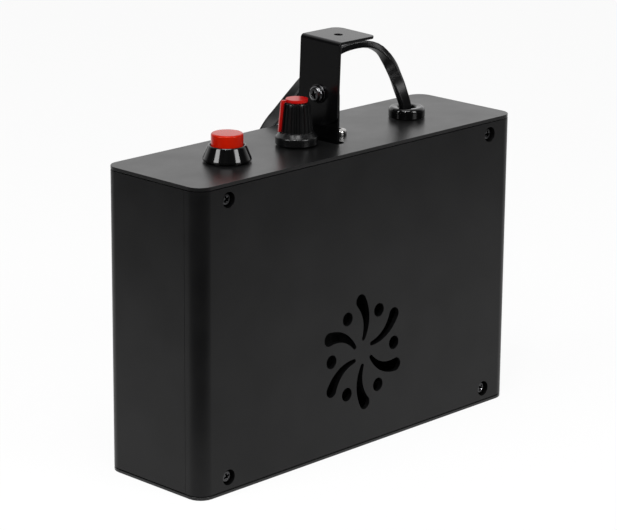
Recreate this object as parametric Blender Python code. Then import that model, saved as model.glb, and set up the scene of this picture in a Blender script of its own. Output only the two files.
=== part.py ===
"""Compact strobe light with a speed knob, a flash button, a hanger bracket and a flat two-core cord.

Metres, +Z up. The origin is the middle of the housing's underside. The vented rear cover faces -Y and the
light window faces +Y. The controls, the cord and the bracket stand on the top plate.
"""

import math

import bmesh
import bpy
from mathutils import Matrix, Vector

# Fits
GAP = 0.0003
FINE_GAP = 0.00015
OVERLAP = 0.0005

# Housing
BOX_LENGTH = 0.160
BOX_DEPTH = 0.047
BOX_HEIGHT = 0.110
CORNER_RADIUS = 0.0055
PLATE = 0.0012
WALL = 0.0018
FRONT_WALL = 0.0025
SEAM_FROM_REAR = 0.0072
TONGUE_DEPTH = 0.0030
TONGUE_THICKNESS = 0.0015

# Screws and nuts. The cross recess is in shares of the head's radius and height
CROSS_REACH = 0.58
CROSS_HALF_WIDTH = 0.13
CROSS_FLOOR = 0.45
SCREW_RADIUS = 0.0015
CASE_SCREW_HEAD_RADIUS = 0.0025
CASE_SCREW_HEAD = 0.0018
CASE_SCREW_INSET_X = 0.0135
CASE_SCREW_INSET_Z = 0.0059
CASE_SCREW_LENGTH = 0.0120
COUNTERBORE_DEPTH = 0.0030
BOSS_RADIUS = 0.0036
NUT_FLATS = 0.0055
NUT_THICKNESS = 0.0022

# Vent in the rear cover
VENT_HEIGHT = 0.0356
VENT_CIRCLE_RADIUS = 0.0162
VENT_HOLE_RADIUS = 0.0025
VENT_COUNT = 6
SLOT_INNER_REACH = 0.00505
SLOT_OUTER_REACH = 0.01935
SLOT_INNER_ANGLE = 87.3
SLOT_OUTER_ANGLE = 93.9
SLOT_BULGE = 0.0020
SLOT_NARROW_RADIUS = 0.0008
SLOT_WIDE_RADIUS = 0.0025

# Light side
WINDOW_SIDE = 0.0170
WINDOW_WIDTH = BOX_LENGTH - 2 * WINDOW_SIDE
WINDOW_HEIGHT = 0.080
WINDOW_RADIUS = 0.004
LENS_LIP = 0.0025
LENS_THICKNESS = 0.0015
REFLECTOR_SHEET = 0.0008
REFLECTOR_INSET = 0.0010
REFLECTOR_LENGTH = WINDOW_WIDTH - 2 * REFLECTOR_INSET
REFLECTOR_HEIGHT = 0.078
REFLECTOR_FROM_BOARD = 0.0021
REFLECTOR_RIM = 0.0025
TUBE_RADIUS = 0.0035
TUBE_LENGTH = 0.084
TUBE_FROM_REFLECTOR = 0.0075
CAP_RADIUS = 0.0040
CAP_LENGTH = 0.0080
HOLDER_WIDTH = 0.0080
HOLDER_THICKNESS = 0.0050
HOLDER_WALL = 0.0016
BAND_WIDTH = 0.0040
BAND_THICKNESS = 0.0005

# Circuit board and what it carries
BOARD_SIDE = 0.0050
BOARD_LENGTH = BOX_LENGTH - 2 * BOARD_SIDE
BOARD_HEIGHT = 0.072
BOARD_THICKNESS = 0.0016
BOARD_FROM_REAR = 0.0175
BOARD_CENTRE_HEIGHT = 0.050
POST_RADIUS = 0.0030
POST_INSET_X = 0.0040
POST_INSET_Z = 0.0080
BOARD_SCREW_HEAD_RADIUS = 0.0028
BOARD_SCREW_HEAD = 0.0020
BOARD_SCREW_LENGTH = 0.0080
CAPACITOR_RADIUS = 0.0060
CAPACITOR_LENGTH = 0.030
CAPACITOR_X = 0.043
CAPACITOR_PITCH = 0.016
TRIGGER_COIL_RADIUS = 0.0060
TRIGGER_COIL_LENGTH = 0.014
TRIGGER_COIL_X = -0.046
RESISTOR_SIZE = (0.034, 0.0095, 0.0095)
RESISTOR_X = 0.043
RESISTOR_HEIGHT = 0.062
THYRISTOR_SIZE = (0.010, 0.0046, 0.016)
THYRISTOR_X = -0.050
THYRISTOR_HEIGHT = 0.030
FUSE_RADIUS = 0.0026
FUSE_LENGTH = 0.020
FUSE_X = -0.038
FUSE_HEIGHT = 0.076

# Push button
BUTTON_X = -0.0463
BUTTON_Y = -0.0019
BEZEL_RADIUS = 0.0085
BEZEL_TOP_RADIUS = 0.0066
BEZEL_HEIGHT = 0.0058
BEZEL_FOOT_EDGE = 0.0004
BUTTON_RADIUS = 0.0056
BUTTON_EDGE = 0.0008
BUTTON_PROUD = 0.0041
BUTTON_TRAVEL = 0.0025
BUTTON_SKIRT = 0.0120
BUTTON_WALL = 0.0014
BUTTON_CROWN = 0.0030
BARREL_RADIUS = 0.0074
BARREL_DEPTH = 0.0180
BARREL_FLOOR = 0.0040
BUTTON_NUT_FLATS = 0.0190
BUTTON_NUT_THICKNESS = 0.0027
SPRING_WIRE_RADIUS = 0.00035
SPRING_RADIUS = 0.0033
SPRING_TURNS = 6
TERMINAL_SIZE = (0.0005, 0.0028, 0.0042)
TERMINAL_PITCH = 0.0060

# Speed knob and its potentiometer
KNOB_X = -0.0129
KNOB_Y = -0.0023
KNOB_REST_ANGLE = 150.0
KNOB_LIFT = 0.0006
KNOB_SKIRT_RADIUS = 0.0075
KNOB_SKIRT_HEIGHT = 0.0028
KNOB_BEVEL = 0.0017
KNOB_FOOT_RADIUS = 0.0058
KNOB_HEAD_RADIUS = 0.00485
KNOB_HEAD_EDGE = 0.0005
KNOB_BODY_HEIGHT = 0.0148
KNOB_FLUTES = 18
KNOB_FLUTE_DEPTH = 0.00035
KNOB_CAVITY_RADIUS = 0.0061
KNOB_CAVITY_HEIGHT = 0.0026
KNOB_CAP_RADIUS = 0.0039
KNOB_CAP_THICKNESS = 0.0011
KNOB_CAP_EDGE = 0.0002
POINTER_WIDTH = 0.0012
POINTER_PROUD = 0.0007
POINTER_DEPTH = 0.0005
SHAFT_RADIUS = 0.0030
SHAFT_LENGTH = 0.0190
BUSHING_RADIUS = 0.0036
BUSHING_PROUD = 0.0022
POTENTIOMETER_RADIUS = 0.0080
POTENTIOMETER_HEIGHT = 0.0085
POTENTIOMETER_NUT_FLATS = 0.0100
POTENTIOMETER_NUT_THICKNESS = 0.0018

# Cord outlet
GROMMET_X = 0.0470
GROMMET_Y = 0.0
GROMMET_RADIUS = 0.0064
GROMMET_HEIGHT = 0.0040
GROMMET_GROOVE_RADIUS = 0.0045
GROMMET_MOUTH_RADIUS = 0.0033
GROMMET_EDGE = 0.0010
GROMMET_TAIL = 0.0030

# Bracket
SHEET = 0.0010
PIVOT_Y = -0.0019
PIVOT_HEIGHT = 0.0165
HANGER_X = -0.0015
HANGER_WIDTH = 0.0180
HANGER_REACH = 0.0199
HANGER_FLANGE = 0.0179
HANGER_END_RADIUS = 0.0115
HANGER_BEND_RADIUS = 0.0014
HANGER_CORNER_RADII = (0.0020, 0.0035)
HANGER_HOLE_RADIUS = 0.0015
HANGER_LEAN = 2.0
FOOT_WIDTH = 0.0164
FOOT_FLANGE = 0.0180
FOOT_SCREW_X = 0.0091
FOOT_SLOT_MARGIN = 0.0022
FOOT_SLOT_NEAR = 0.0022
FOOT_SLOT_FAR = 0.0019
FOOT_SCREW_HEAD_RADIUS = 0.0028
FOOT_SCREW_HEAD = 0.0019
PIVOT_HEAD_RADIUS = 0.0035
PIVOT_HEAD = 0.0016
WASHER_RADIUS = 0.0040
WASHER_THICKNESS = 0.0004

# Cord, coil and plug
CORD_WIDTH = 0.0046
CORD_THICKNESS = 0.0026
CORD_STEP = 0.0075
CORD_ROUTE = [
    (0.0470, 0.0000, 0.1062),
    (0.0468, 0.0000, 0.1100),
    (0.0461, 0.0000, 0.1143),
    (0.0452, 0.0017, 0.1200),
    (0.0450, 0.0041, 0.1249),
    (0.0450, 0.0068, 0.1289),
    (0.0447, 0.0099, 0.1322),
    (0.0444, 0.0126, 0.1340),
    (0.0429, 0.0160, 0.1351),
    (0.0401, 0.0194, 0.1349),
    (0.0370, 0.0220, 0.1338),
    (0.0348, 0.0234, 0.1326),
    (0.0276, 0.0256, 0.1285),
    (0.0212, 0.0264, 0.1242),
    (0.0154, 0.0268, 0.1192),
    (0.0089, 0.0270, 0.1139),
    (0.0023, 0.0270, 0.1087),
    (-0.0050, 0.0270, 0.0990),
    (-0.0120, 0.0270, 0.0840),
    (-0.0165, 0.0272, 0.0660),
    (-0.0188, 0.0278, 0.0450),
    (-0.0195, 0.0298, 0.0270),
    (-0.0196, 0.0352, 0.0125),
    (-0.0196, 0.0438, 0.0050),
    (-0.0196, 0.0530, 0.0032),
    (-0.0196, 0.0597, 0.0031),
]
COIL_CENTRE = (0.0120, 0.0600)
COIL_OUTER_RADIUS = 0.0316
COIL_TURNS = 8.25
COIL_POINTS_PER_TURN = 24
COIL_PITCH = 0.0032
COIL_RISE = 0.0051
COIL_LIFT = 0.0008
TAIL_ROUTE = [
    (0.0123, 0.0916, 0.0082),
    (0.0200, 0.0920, 0.0082),
    (0.0290, 0.0928, 0.0078),
    (0.0370, 0.0930, 0.0072),
    (0.0435, 0.0917, 0.0069),
    (0.0491, 0.0881, 0.0068),
    (0.0527, 0.0833, 0.0068),
    (0.0547, 0.0780, 0.0068),
]
TIE_THICKNESS = 0.0005
TIE_WIDTH = 0.0040
TIE_CORNER = 0.0020
TIE_ANGLE = -60.0
PLUG_DIRECTION = -70.0
PLUG_HEIGHT = 0.0130
PLUG_SECTIONS = [
    (0.0003, 0.0075, 0.0070),
    (0.0080, 0.0085, 0.0080),
    (0.0140, 0.0150, 0.0110),
    (0.0200, 0.0205, 0.0130),
    (0.0345, 0.0220, 0.0130),
    (0.0360, 0.0200, 0.0110),
]
BLADE_LENGTH = 0.0170
BLADE_WIDTH = 0.00635
BLADE_THICKNESS = 0.0015
BLADE_PITCH = 0.0127

TOP = BOX_HEIGHT
REAR = -BOX_DEPTH / 2
FRONT = BOX_DEPTH / 2
SHELL_LOW = PLATE + GAP
SHELL_HIGH = BOX_HEIGHT - PLATE - GAP
SEAM_Y = REAR + SEAM_FROM_REAR
PLATE_UNDER = TOP - PLATE
PAST = 0.001


def finish(name, colour, roughness, metallic=0.0, alpha=1.0):
    material = bpy.data.materials.new(name)
    material.use_nodes = True
    shader = material.node_tree.nodes["Principled BSDF"]
    shader.inputs["Base Color"].default_value = (*colour, 1.0)
    shader.inputs["Roughness"].default_value = roughness
    shader.inputs["Metallic"].default_value = metallic
    shader.inputs["Alpha"].default_value = alpha
    return material


def make_finishes():
    return {
        "case": finish("satin_black_plastic", (0.020, 0.020, 0.022), 0.45),
        "plate": finish("satin_black_plate", (0.030, 0.030, 0.032), 0.35),
        "sheet": finish("black_sheet_metal", (0.025, 0.025, 0.027), 0.40, 0.3),
        "gloss": finish("gloss_black_plastic", (0.012, 0.012, 0.013), 0.12),
        "rubber": finish("black_rubber", (0.015, 0.015, 0.016), 0.40),
        "dark_screw": finish("blackened_steel", (0.05, 0.05, 0.055), 0.35, 0.9),
        "bright_screw": finish("bright_nickel", (0.75, 0.74, 0.72), 0.20, 1.0),
        "button": finish("orange_red_plastic", (0.80, 0.06, 0.01), 0.30),
        "pointer": finish("crimson_plastic", (0.55, 0.01, 0.02), 0.25),
        "clear": finish("clear_lens", (0.90, 0.92, 0.93), 0.05, 0.0, 0.35),
        "mirror": finish("polished_aluminium", (0.88, 0.89, 0.90), 0.12, 1.0),
        "board": finish("green_board", (0.02, 0.16, 0.06), 0.50),
        "ceramic": finish("white_ceramic", (0.80, 0.79, 0.75), 0.60),
        "winding": finish("copper_winding", (0.60, 0.28, 0.10), 0.35, 0.8),
        "brass": finish("plated_brass", (0.72, 0.55, 0.25), 0.25, 1.0),
    }


def object_from(name, mesh_data, material=None, sharp=30.0):
    """Make a named object from a bmesh, with its faces pointing out and its round faces shaded smooth."""
    bmesh.ops.recalc_face_normals(mesh_data, faces=mesh_data.faces[:])
    mesh = bpy.data.meshes.new(name)
    mesh_data.to_mesh(mesh)
    mesh_data.free()
    mesh.shade_smooth()
    mesh.set_sharp_from_angle(angle=math.radians(sharp))
    item = bpy.data.objects.new(name, mesh)
    bpy.context.scene.collection.objects.link(item)
    if material:
        mesh.materials.append(material)
    return item


def placed(along, u, v, w):
    """Turn outline coordinates (u, v) and a height w along an axis into X, Y, Z."""
    if along == "X":
        return (w, u, v)
    if along == "Y":
        return (u, w, v)
    return (u, v, w)


def prism(name, outline, low, high, material=None, along="Z"):
    """Extrude an outline, given in the other two axes, from low to high along one axis."""
    shape = bmesh.new()
    base = shape.faces.new([shape.verts.new(placed(along, u, v, low)) for u, v in outline])
    grown = bmesh.ops.extrude_face_region(shape, geom=[base])["geom"]
    moved = [item for item in grown if isinstance(item, bmesh.types.BMVert)]
    bmesh.ops.translate(shape, verts=moved, vec=Vector(placed(along, 0, 0, high - low)))
    return object_from(name, shape, material)


def turned(name, profile, centre, material=None, along="Z", steps=32, ring=False):
    """Spin a profile of (radius, height) points about an axis through centre."""
    shape = bmesh.new()
    points = [shape.verts.new((radius, 0, height)) for radius, height in profile]
    following = points[1:] + points[:1] if ring else points[1:]
    edges = [shape.edges.new(pair) for pair in zip(points, following)]
    bmesh.ops.spin(
        shape, geom=points + edges, cent=(0, 0, 0), axis=(0, 0, 1), angle=math.tau, steps=steps, use_merge=True
    )
    bmesh.ops.remove_doubles(shape, verts=shape.verts[:], dist=1e-7)
    turn = Matrix()
    if along == "X":
        turn = Matrix.Rotation(math.radians(90), 4, "Y")
    if along == "Y":
        turn = Matrix.Rotation(math.radians(-90), 4, "X")
    shape.transform(Matrix.Translation(centre) @ turn)
    return object_from(name, shape, material)


def rod(name, centre, radius, low, high, material=None, along="Z", steps=16):
    """A plain round bar or drill about an axis through centre, from low to high along it."""
    plane = {"X": (centre[1], centre[2]), "Y": (centre[0], centre[2]), "Z": (centre[0], centre[1])}[along]
    start = {"X": centre[0], "Y": centre[1], "Z": centre[2]}[along]
    outline = arc(plane, radius, 0, 360 * (steps - 1) / steps, steps - 1)
    return prism(name, outline, start + low, start + high, material, along)


def block(name, centre, size, material=None):
    low = centre[2] - size[2] / 2
    outline = rectangle(centre[0], centre[1], size[0], size[1])
    return prism(name, outline, low, low + size[2], material)


def loft(name, sections, material=None):
    """Skin a row of closed sections that have the same number of points."""
    shape = bmesh.new()
    rings = [[shape.verts.new(point) for point in section] for section in sections]
    for first, second in zip(rings, rings[1:]):
        for index, corner in enumerate(first):
            after = (index + 1) % len(first)
            shape.faces.new((corner, first[after], second[after], second[index]))
    shape.faces.new(rings[0])
    shape.faces.new(rings[-1])
    return object_from(name, shape, material)


def arc(centre, radius, start, end, steps):
    """Points on an arc from start to end, in degrees, with both ends."""
    angles = [math.radians(start + (end - start) * step / steps) for step in range(steps + 1)]
    return [(centre[0] + radius * math.cos(angle), centre[1] + radius * math.sin(angle)) for angle in angles]


def rectangle(centre_u, centre_v, width, height):
    half_width = width / 2
    half_height = height / 2
    return [
        (centre_u - half_width, centre_v - half_height),
        (centre_u + half_width, centre_v - half_height),
        (centre_u + half_width, centre_v + half_height),
        (centre_u - half_width, centre_v + half_height),
    ]


def rounded_rectangle(low, high, radii, steps=6):
    """Outline between two corners. The radii are for the +u+v, -u+v, -u-v and +u-v corners."""
    corners = [(high[0], high[1]), (low[0], high[1]), (low[0], low[1]), (high[0], low[1])]
    inward = [(-1, -1), (1, -1), (1, 1), (-1, 1)]
    outline = []
    for index, ((u, v), (du, dv), radius) in enumerate(zip(corners, inward, radii)):
        centre = (u + du * radius, v + dv * radius)
        outline += arc(centre, radius, 90 * index, 90 * index + 90, steps)
    return outline


def hexagon(centre, flats):
    return arc(centre, flats / math.sqrt(3), 30, 330, 5)


def combine(item, operation, *tools):
    """Add, cut or intersect helper solids, which are hidden from the finished model."""
    for tool in tools:
        modifier = item.modifiers.new(tool.name, "BOOLEAN")
        modifier.operation = operation
        modifier.solver = "EXACT"
        modifier.object = tool
        tool.hide_render = True
        tool.display_type = "WIRE"
    return item


def carry(pivot, *items):
    """Hang objects that were modelled about the pivot's own origin under that pivot."""
    for item in items:
        item.parent = pivot


def pivot_at(name, place, rotation=(0, 0, 0)):
    pivot = bpy.data.objects.new(name, None)
    bpy.context.scene.collection.objects.link(pivot)
    pivot.location = place
    pivot.rotation_euler = [math.radians(angle) for angle in rotation]
    return pivot


def hex_nut(name, centre, flats, thickness, bore_radius, material, along="Z"):
    """A nut that starts at centre and rises along the axis."""
    plane = {"X": (centre[1], centre[2]), "Y": (centre[0], centre[2]), "Z": (centre[0], centre[1])}[along]
    start = {"X": centre[0], "Y": centre[1], "Z": centre[2]}[along]
    nut = prism(name, hexagon(plane, flats), start, start + thickness, material, along)
    bore = rod(name + "_bore", centre, bore_radius, -PAST, thickness + PAST, None, along)
    return combine(nut, "DIFFERENCE", bore)


def pan_screw(name, seat, head_radius, head_height, length, material, along="Z", outward=1):
    """A pan-head machine screw with a cross recess. Its head starts at the seat and stands outward."""
    profile = [
        (0, -length),
        (SCREW_RADIUS, -length),
        (SCREW_RADIUS, 0),
        (head_radius, 0),
        (head_radius, 0.45 * head_height),
        (0.90 * head_radius, 0.75 * head_height),
        (0.65 * head_radius, 0.95 * head_height),
        (0, head_height),
    ]
    profile = [(radius, outward * height) for radius, height in profile]
    screw = turned(name, profile, seat, material, along, 14)
    plane = {"X": (seat[1], seat[2]), "Y": (seat[0], seat[2]), "Z": (seat[0], seat[1])}[along]
    start = {"X": seat[0], "Y": seat[1], "Z": seat[2]}[along]
    arm = CROSS_REACH * head_radius
    half = CROSS_HALF_WIDTH * head_radius
    ends = sorted((start + outward * CROSS_FLOOR * head_height, start + outward * (head_height + PAST)))
    outline = [
        (arm, half), (half, half), (half, arm), (-half, arm), (-half, half), (-arm, half),
        (-arm, -half), (-half, -half), (-half, -arm), (half, -arm), (half, -half), (arm, -half),
    ]
    outline = [(plane[0] + u, plane[1] + v) for u, v in outline]
    return combine(screw, "DIFFERENCE", prism(name + "_cross", outline, ends[0], ends[1], None, along))


def case_screw_places():
    reach = BOX_LENGTH / 2 - CASE_SCREW_INSET_X
    heights = (CASE_SCREW_INSET_Z, BOX_HEIGHT - CASE_SCREW_INSET_Z)
    return [(x, z) for z in heights for x in (-reach, reach)]


def board_post_places():
    reach = BOARD_LENGTH / 2 - POST_INSET_X
    half = BOARD_HEIGHT / 2 - POST_INSET_Z
    return [(x, BOARD_CENTRE_HEIGHT + z) for z in (-half, half) for x in (-reach, reach)]


def case_outline():
    return rounded_rectangle((-BOX_LENGTH / 2, REAR), (BOX_LENGTH / 2, FRONT), [CORNER_RADIUS] * 4)


def inner_outline(clearance=0.0):
    """The free plan inside the shells, drawn in by a clearance."""
    side = WALL + clearance
    low = (-BOX_LENGTH / 2 + side, REAR + side)
    high = (BOX_LENGTH / 2 - side, FRONT - FRONT_WALL - clearance)
    return low, high, [max(CORNER_RADIUS - side, WALL)] * 4


def comma_outline(turn):
    """A curved slot that widens outwards, turned about the middle of the vent."""
    start = Vector((math.cos(math.radians(SLOT_INNER_ANGLE)), math.sin(math.radians(SLOT_INNER_ANGLE))))
    end = Vector((math.cos(math.radians(SLOT_OUTER_ANGLE)), math.sin(math.radians(SLOT_OUTER_ANGLE))))
    start *= SLOT_INNER_REACH
    end *= SLOT_OUTER_REACH
    chord = end - start
    side = Vector((chord.y, -chord.x)).normalized()
    steps = 6
    middle = []
    for step in range(steps + 1):
        share = step / steps
        bulge = 4 * SLOT_BULGE * share * (1 - share)
        slope = 4 * SLOT_BULGE * (1 - 2 * share)
        heading = (chord + side * slope).normalized()
        radius = SLOT_NARROW_RADIUS + (SLOT_WIDE_RADIUS - SLOT_NARROW_RADIUS) * share
        middle.append((start + chord * share + side * bulge, heading, radius))
    right = [point + Vector((heading.y, -heading.x)) * radius for point, heading, radius in middle]
    left = [point - Vector((heading.y, -heading.x)) * radius for point, heading, radius in middle]
    outline = right + half_circle(*middle[-1], 90) + left[::-1] + half_circle(*middle[0], -90)
    spin = Matrix.Rotation(math.radians(turn), 2)
    return [tuple(spin @ point + Vector((0, VENT_HEIGHT))) for point in outline]


def half_circle(point, heading, radius, start):
    """The inner points of a round slot end, from one side of the heading to the other."""
    facing = math.atan2(heading.y, heading.x) - math.radians(start)
    angles = [facing + math.radians(45 * step) for step in (1, 2, 3)]
    return [point + radius * Vector((math.cos(angle), math.sin(angle))) for angle in angles]


def make_shells(finishes):
    """The deep front shell and the shallow rear cover, split at the seam."""
    low, high, radii = inner_outline()
    inside = prism("tool_inside", rounded_rectangle(low, high, radii), -PAST, TOP + PAST)
    reach = BOX_LENGTH / 2 + PAST
    behind = block("tool_behind_seam", (0, SEAM_Y + GAP / 2 - BOX_DEPTH / 2, TOP / 2), (2 * reach, BOX_DEPTH, 2 * TOP))
    ahead = block("tool_ahead_of_seam", (0, SEAM_Y - GAP / 2 + BOX_DEPTH / 2, TOP / 2), (2 * reach, BOX_DEPTH, 2 * TOP))
    shell = prism("front_shell", case_outline(), SHELL_LOW, SHELL_HIGH, finishes["case"])
    cover = prism("rear_cover", case_outline(), SHELL_LOW, SHELL_HIGH, finishes["case"])
    combine(shell, "DIFFERENCE", inside, behind)
    combine(cover, "DIFFERENCE", inside, ahead)
    add_case_bosses(shell, cover)
    add_board_posts(shell)
    window_low = (-WINDOW_WIDTH / 2, (TOP - WINDOW_HEIGHT) / 2)
    window_high = (WINDOW_WIDTH / 2, (TOP + WINDOW_HEIGHT) / 2)
    window = rounded_rectangle(window_low, window_high, [WINDOW_RADIUS] * 4)
    opening = prism("tool_window", window, FRONT - FRONT_WALL - PAST, FRONT + PAST, None, "Y")
    combine(shell, "DIFFERENCE", opening)
    cut_vent(cover)


def add_case_bosses(shell, cover):
    for number, (x, z) in enumerate(case_screw_places(), 1):
        centre = (x, 0, z)
        front_boss = rod(
            f"tool_front_boss_{number}", centre, BOSS_RADIUS, SEAM_Y + GAP / 2, FRONT - FRONT_WALL + OVERLAP, None, "Y"
        )
        pilot_end = SEAM_Y + CASE_SCREW_LENGTH
        pilot = rod(f"tool_pilot_{number}", centre, SCREW_RADIUS + GAP, SEAM_Y - PAST, pilot_end, None, "Y")
        rear_boss = rod(
            f"tool_rear_boss_{number}", centre, BOSS_RADIUS, REAR + WALL - OVERLAP, SEAM_Y - GAP / 2, None, "Y"
        )
        through = rod(f"tool_through_{number}", centre, SCREW_RADIUS + GAP, REAR - PAST, SEAM_Y + PAST, None, "Y")
        counterbore = rod(
            f"tool_counterbore_{number}", centre, CASE_SCREW_HEAD_RADIUS + GAP, REAR - PAST, REAR + COUNTERBORE_DEPTH,
            None, "Y"
        )
        combine(shell, "UNION", front_boss)
        combine(shell, "DIFFERENCE", pilot)
        combine(cover, "UNION", rear_boss)
        combine(cover, "DIFFERENCE", through, counterbore)


def add_board_posts(shell):
    start = board_front()
    for number, (x, z) in enumerate(board_post_places(), 1):
        centre = (x, 0, z)
        post = rod(
            f"tool_post_{number}", centre, POST_RADIUS, start + GAP, FRONT - FRONT_WALL + OVERLAP, None, "Y"
        )
        pilot = rod(
            f"tool_post_pilot_{number}", centre, SCREW_RADIUS + GAP, start - PAST, start + BOARD_SCREW_LENGTH,
            None, "Y"
        )
        combine(shell, "UNION", post)
        combine(shell, "DIFFERENCE", pilot)


def cut_vent(cover):
    near = REAR - PAST
    far = REAR + WALL + PAST
    for index in range(VENT_COUNT):
        turn = 360 * index / VENT_COUNT
        angle = math.radians(turn)
        centre = (VENT_CIRCLE_RADIUS * math.cos(angle), 0, VENT_HEIGHT + VENT_CIRCLE_RADIUS * math.sin(angle))
        hole = rod(f"tool_vent_hole_{index}", centre, VENT_HOLE_RADIUS, near, far, None, "Y")
        slot = prism(f"tool_vent_slot_{index}", comma_outline(turn), near, far, None, "Y")
        combine(cover, "DIFFERENCE", hole, slot)


def make_end_plate(name, outer, inward, finishes):
    """A flat end plate with four tongues that locate it inside the shells. Inward is +1 for the lower plate."""
    inner = outer + inward * PLATE
    plate = prism(name, case_outline(), min(outer, inner), max(outer, inner), finishes["plate"])
    tip = inner + inward * TONGUE_DEPTH
    root = inner - inward * OVERLAP
    middle = (tip + root) / 2
    depth = abs(tip - root)
    low, high, _ = inner_outline(GAP + TONGUE_THICKNESS / 2)
    long_side = BOX_LENGTH - 4 * CASE_SCREW_INSET_X
    boss_clear = SEAM_Y + GAP + TONGUE_THICKNESS
    short_middle = (boss_clear + high[1] - TONGUE_THICKNESS) / 2
    short_side = high[1] - TONGUE_THICKNESS - boss_clear
    sides = [
        ("rear", (0, low[1], middle), (long_side, TONGUE_THICKNESS, depth)),
        ("front", (0, high[1], middle), (long_side, TONGUE_THICKNESS, depth)),
        ("left", (low[0], short_middle, middle), (TONGUE_THICKNESS, short_side, depth)),
        ("right", (high[0], short_middle, middle), (TONGUE_THICKNESS, short_side, depth)),
    ]
    for side, centre, size in sides:
        combine(plate, "UNION", block(f"tool_{name}_{side}_tongue", centre, size))
    return plate


def make_plates(finishes):
    make_end_plate("bottom_plate", 0.0, 1, finishes)
    plate = make_end_plate("top_plate", TOP, -1, finishes)
    low = PLATE_UNDER - PAST
    high = TOP + PAST
    half_slot = FOOT_WIDTH / 2 + FOOT_SLOT_MARGIN
    slot_radius = (FOOT_SLOT_NEAR + FOOT_SLOT_FAR) / 2
    slot = rounded_rectangle(
        (-FOOT_SLOT_NEAR, PIVOT_Y - half_slot), (FOOT_SLOT_FAR, PIVOT_Y + half_slot), [0.98 * slot_radius] * 4
    )
    combine(
        plate,
        "DIFFERENCE",
        rod("tool_button_hole", (BUTTON_X, BUTTON_Y, 0), BARREL_RADIUS + GAP, low, high, None, "Z", 32),
        rod("tool_knob_hole", (KNOB_X, KNOB_Y, 0), BUSHING_RADIUS + GAP, low, high),
        rod("tool_grommet_hole", (GROMMET_X, GROMMET_Y, 0), GROMMET_GROOVE_RADIUS + GAP, low, high),
        rod("tool_foot_screw_hole", (FOOT_SCREW_X, PIVOT_Y, 0), SCREW_RADIUS + GAP, low, high),
        prism("tool_foot_slot", slot, low, high),
    )


def make_case_screws(finishes):
    seat = REAR + COUNTERBORE_DEPTH - FINE_GAP
    for number, (x, z) in enumerate(case_screw_places(), 1):
        length = SEAM_FROM_REAR - COUNTERBORE_DEPTH + CASE_SCREW_LENGTH - PAST
        pan_screw(
            f"rear_screw_{number}", (x, seat, z), CASE_SCREW_HEAD_RADIUS, CASE_SCREW_HEAD, length,
            finishes["dark_screw"], "Y", -1
        )


def make_lens(finishes):
    """A clear window with a lip behind the front wall and a raised panel that fills the opening."""
    middle = TOP / 2
    half_width = WINDOW_WIDTH / 2
    half_height = WINDOW_HEIGHT / 2
    lip = rounded_rectangle(
        (-half_width - LENS_LIP, middle - half_height - LENS_LIP),
        (half_width + LENS_LIP, middle + half_height + LENS_LIP),
        [WINDOW_RADIUS + LENS_LIP] * 4,
    )
    panel = rounded_rectangle(
        (-half_width + GAP, middle - half_height + GAP),
        (half_width - GAP, middle + half_height - GAP),
        [WINDOW_RADIUS - GAP] * 4,
    )
    lens = prism("front_lens", lip, lens_back(), lens_back() + LENS_THICKNESS, finishes["clear"], "Y")
    raised = prism("tool_lens_panel", panel, lens_back() + OVERLAP, FRONT - GAP, None, "Y")
    combine(lens, "UNION", raised)


def lens_back():
    return FRONT - FRONT_WALL - GAP - LENS_THICKNESS


def mouth_y():
    return lens_back() - GAP


def board_front():
    return REAR + BOARD_FROM_REAR + BOARD_THICKNESS


def reflector_curve(height_share, offset=0.0):
    """A point of the trough's parabola in (y, z), moved outwards along its normal by an offset."""
    half = REFLECTOR_HEIGHT / 2
    depth = mouth_y() - board_front() - REFLECTOR_FROM_BOARD - REFLECTOR_SHEET
    z = half * height_share
    y = mouth_y() - depth * (1 - height_share**2)
    slope = 2 * depth * height_share / half
    length = math.hypot(slope, 1)
    return (y - offset / length, TOP / 2 + z + offset * slope / length)


def make_reflector(finishes):
    """A parabolic trough with closed ends and a flat rim round its mouth."""
    steps = 12
    shares = [-1 + 2 * step / steps for step in range(steps + 1)]
    outside = [reflector_curve(share, REFLECTOR_SHEET) for share in shares]
    front = mouth_y() - REFLECTOR_SHEET / 2
    outside = [(min(y, front), z) for y, z in outside]
    outside[0] = (front, outside[0][1])
    outside[-1] = (front, outside[-1][1])
    inside = [reflector_curve(share) for share in shares]
    inside = [(mouth_y() + PAST, inside[0][1])] + inside + [(mouth_y() + PAST, inside[-1][1])]
    half = REFLECTOR_LENGTH / 2
    trough = prism("reflector", outside, -half - REFLECTOR_SHEET, half + REFLECTOR_SHEET, finishes["mirror"], "X")
    rim_u = half + REFLECTOR_RIM
    rim_v = REFLECTOR_HEIGHT / 2 + REFLECTOR_RIM
    rim = rounded_rectangle((-rim_u, TOP / 2 - rim_v), (rim_u, TOP / 2 + rim_v), [REFLECTOR_RIM] * 4, 3)
    combine(trough, "UNION", prism("tool_reflector_rim", rim, mouth_y() - REFLECTOR_SHEET, mouth_y(), None, "Y"))
    combine(trough, "DIFFERENCE", prism("tool_reflector_hollow", inside, -half, half, None, "X"))


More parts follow.
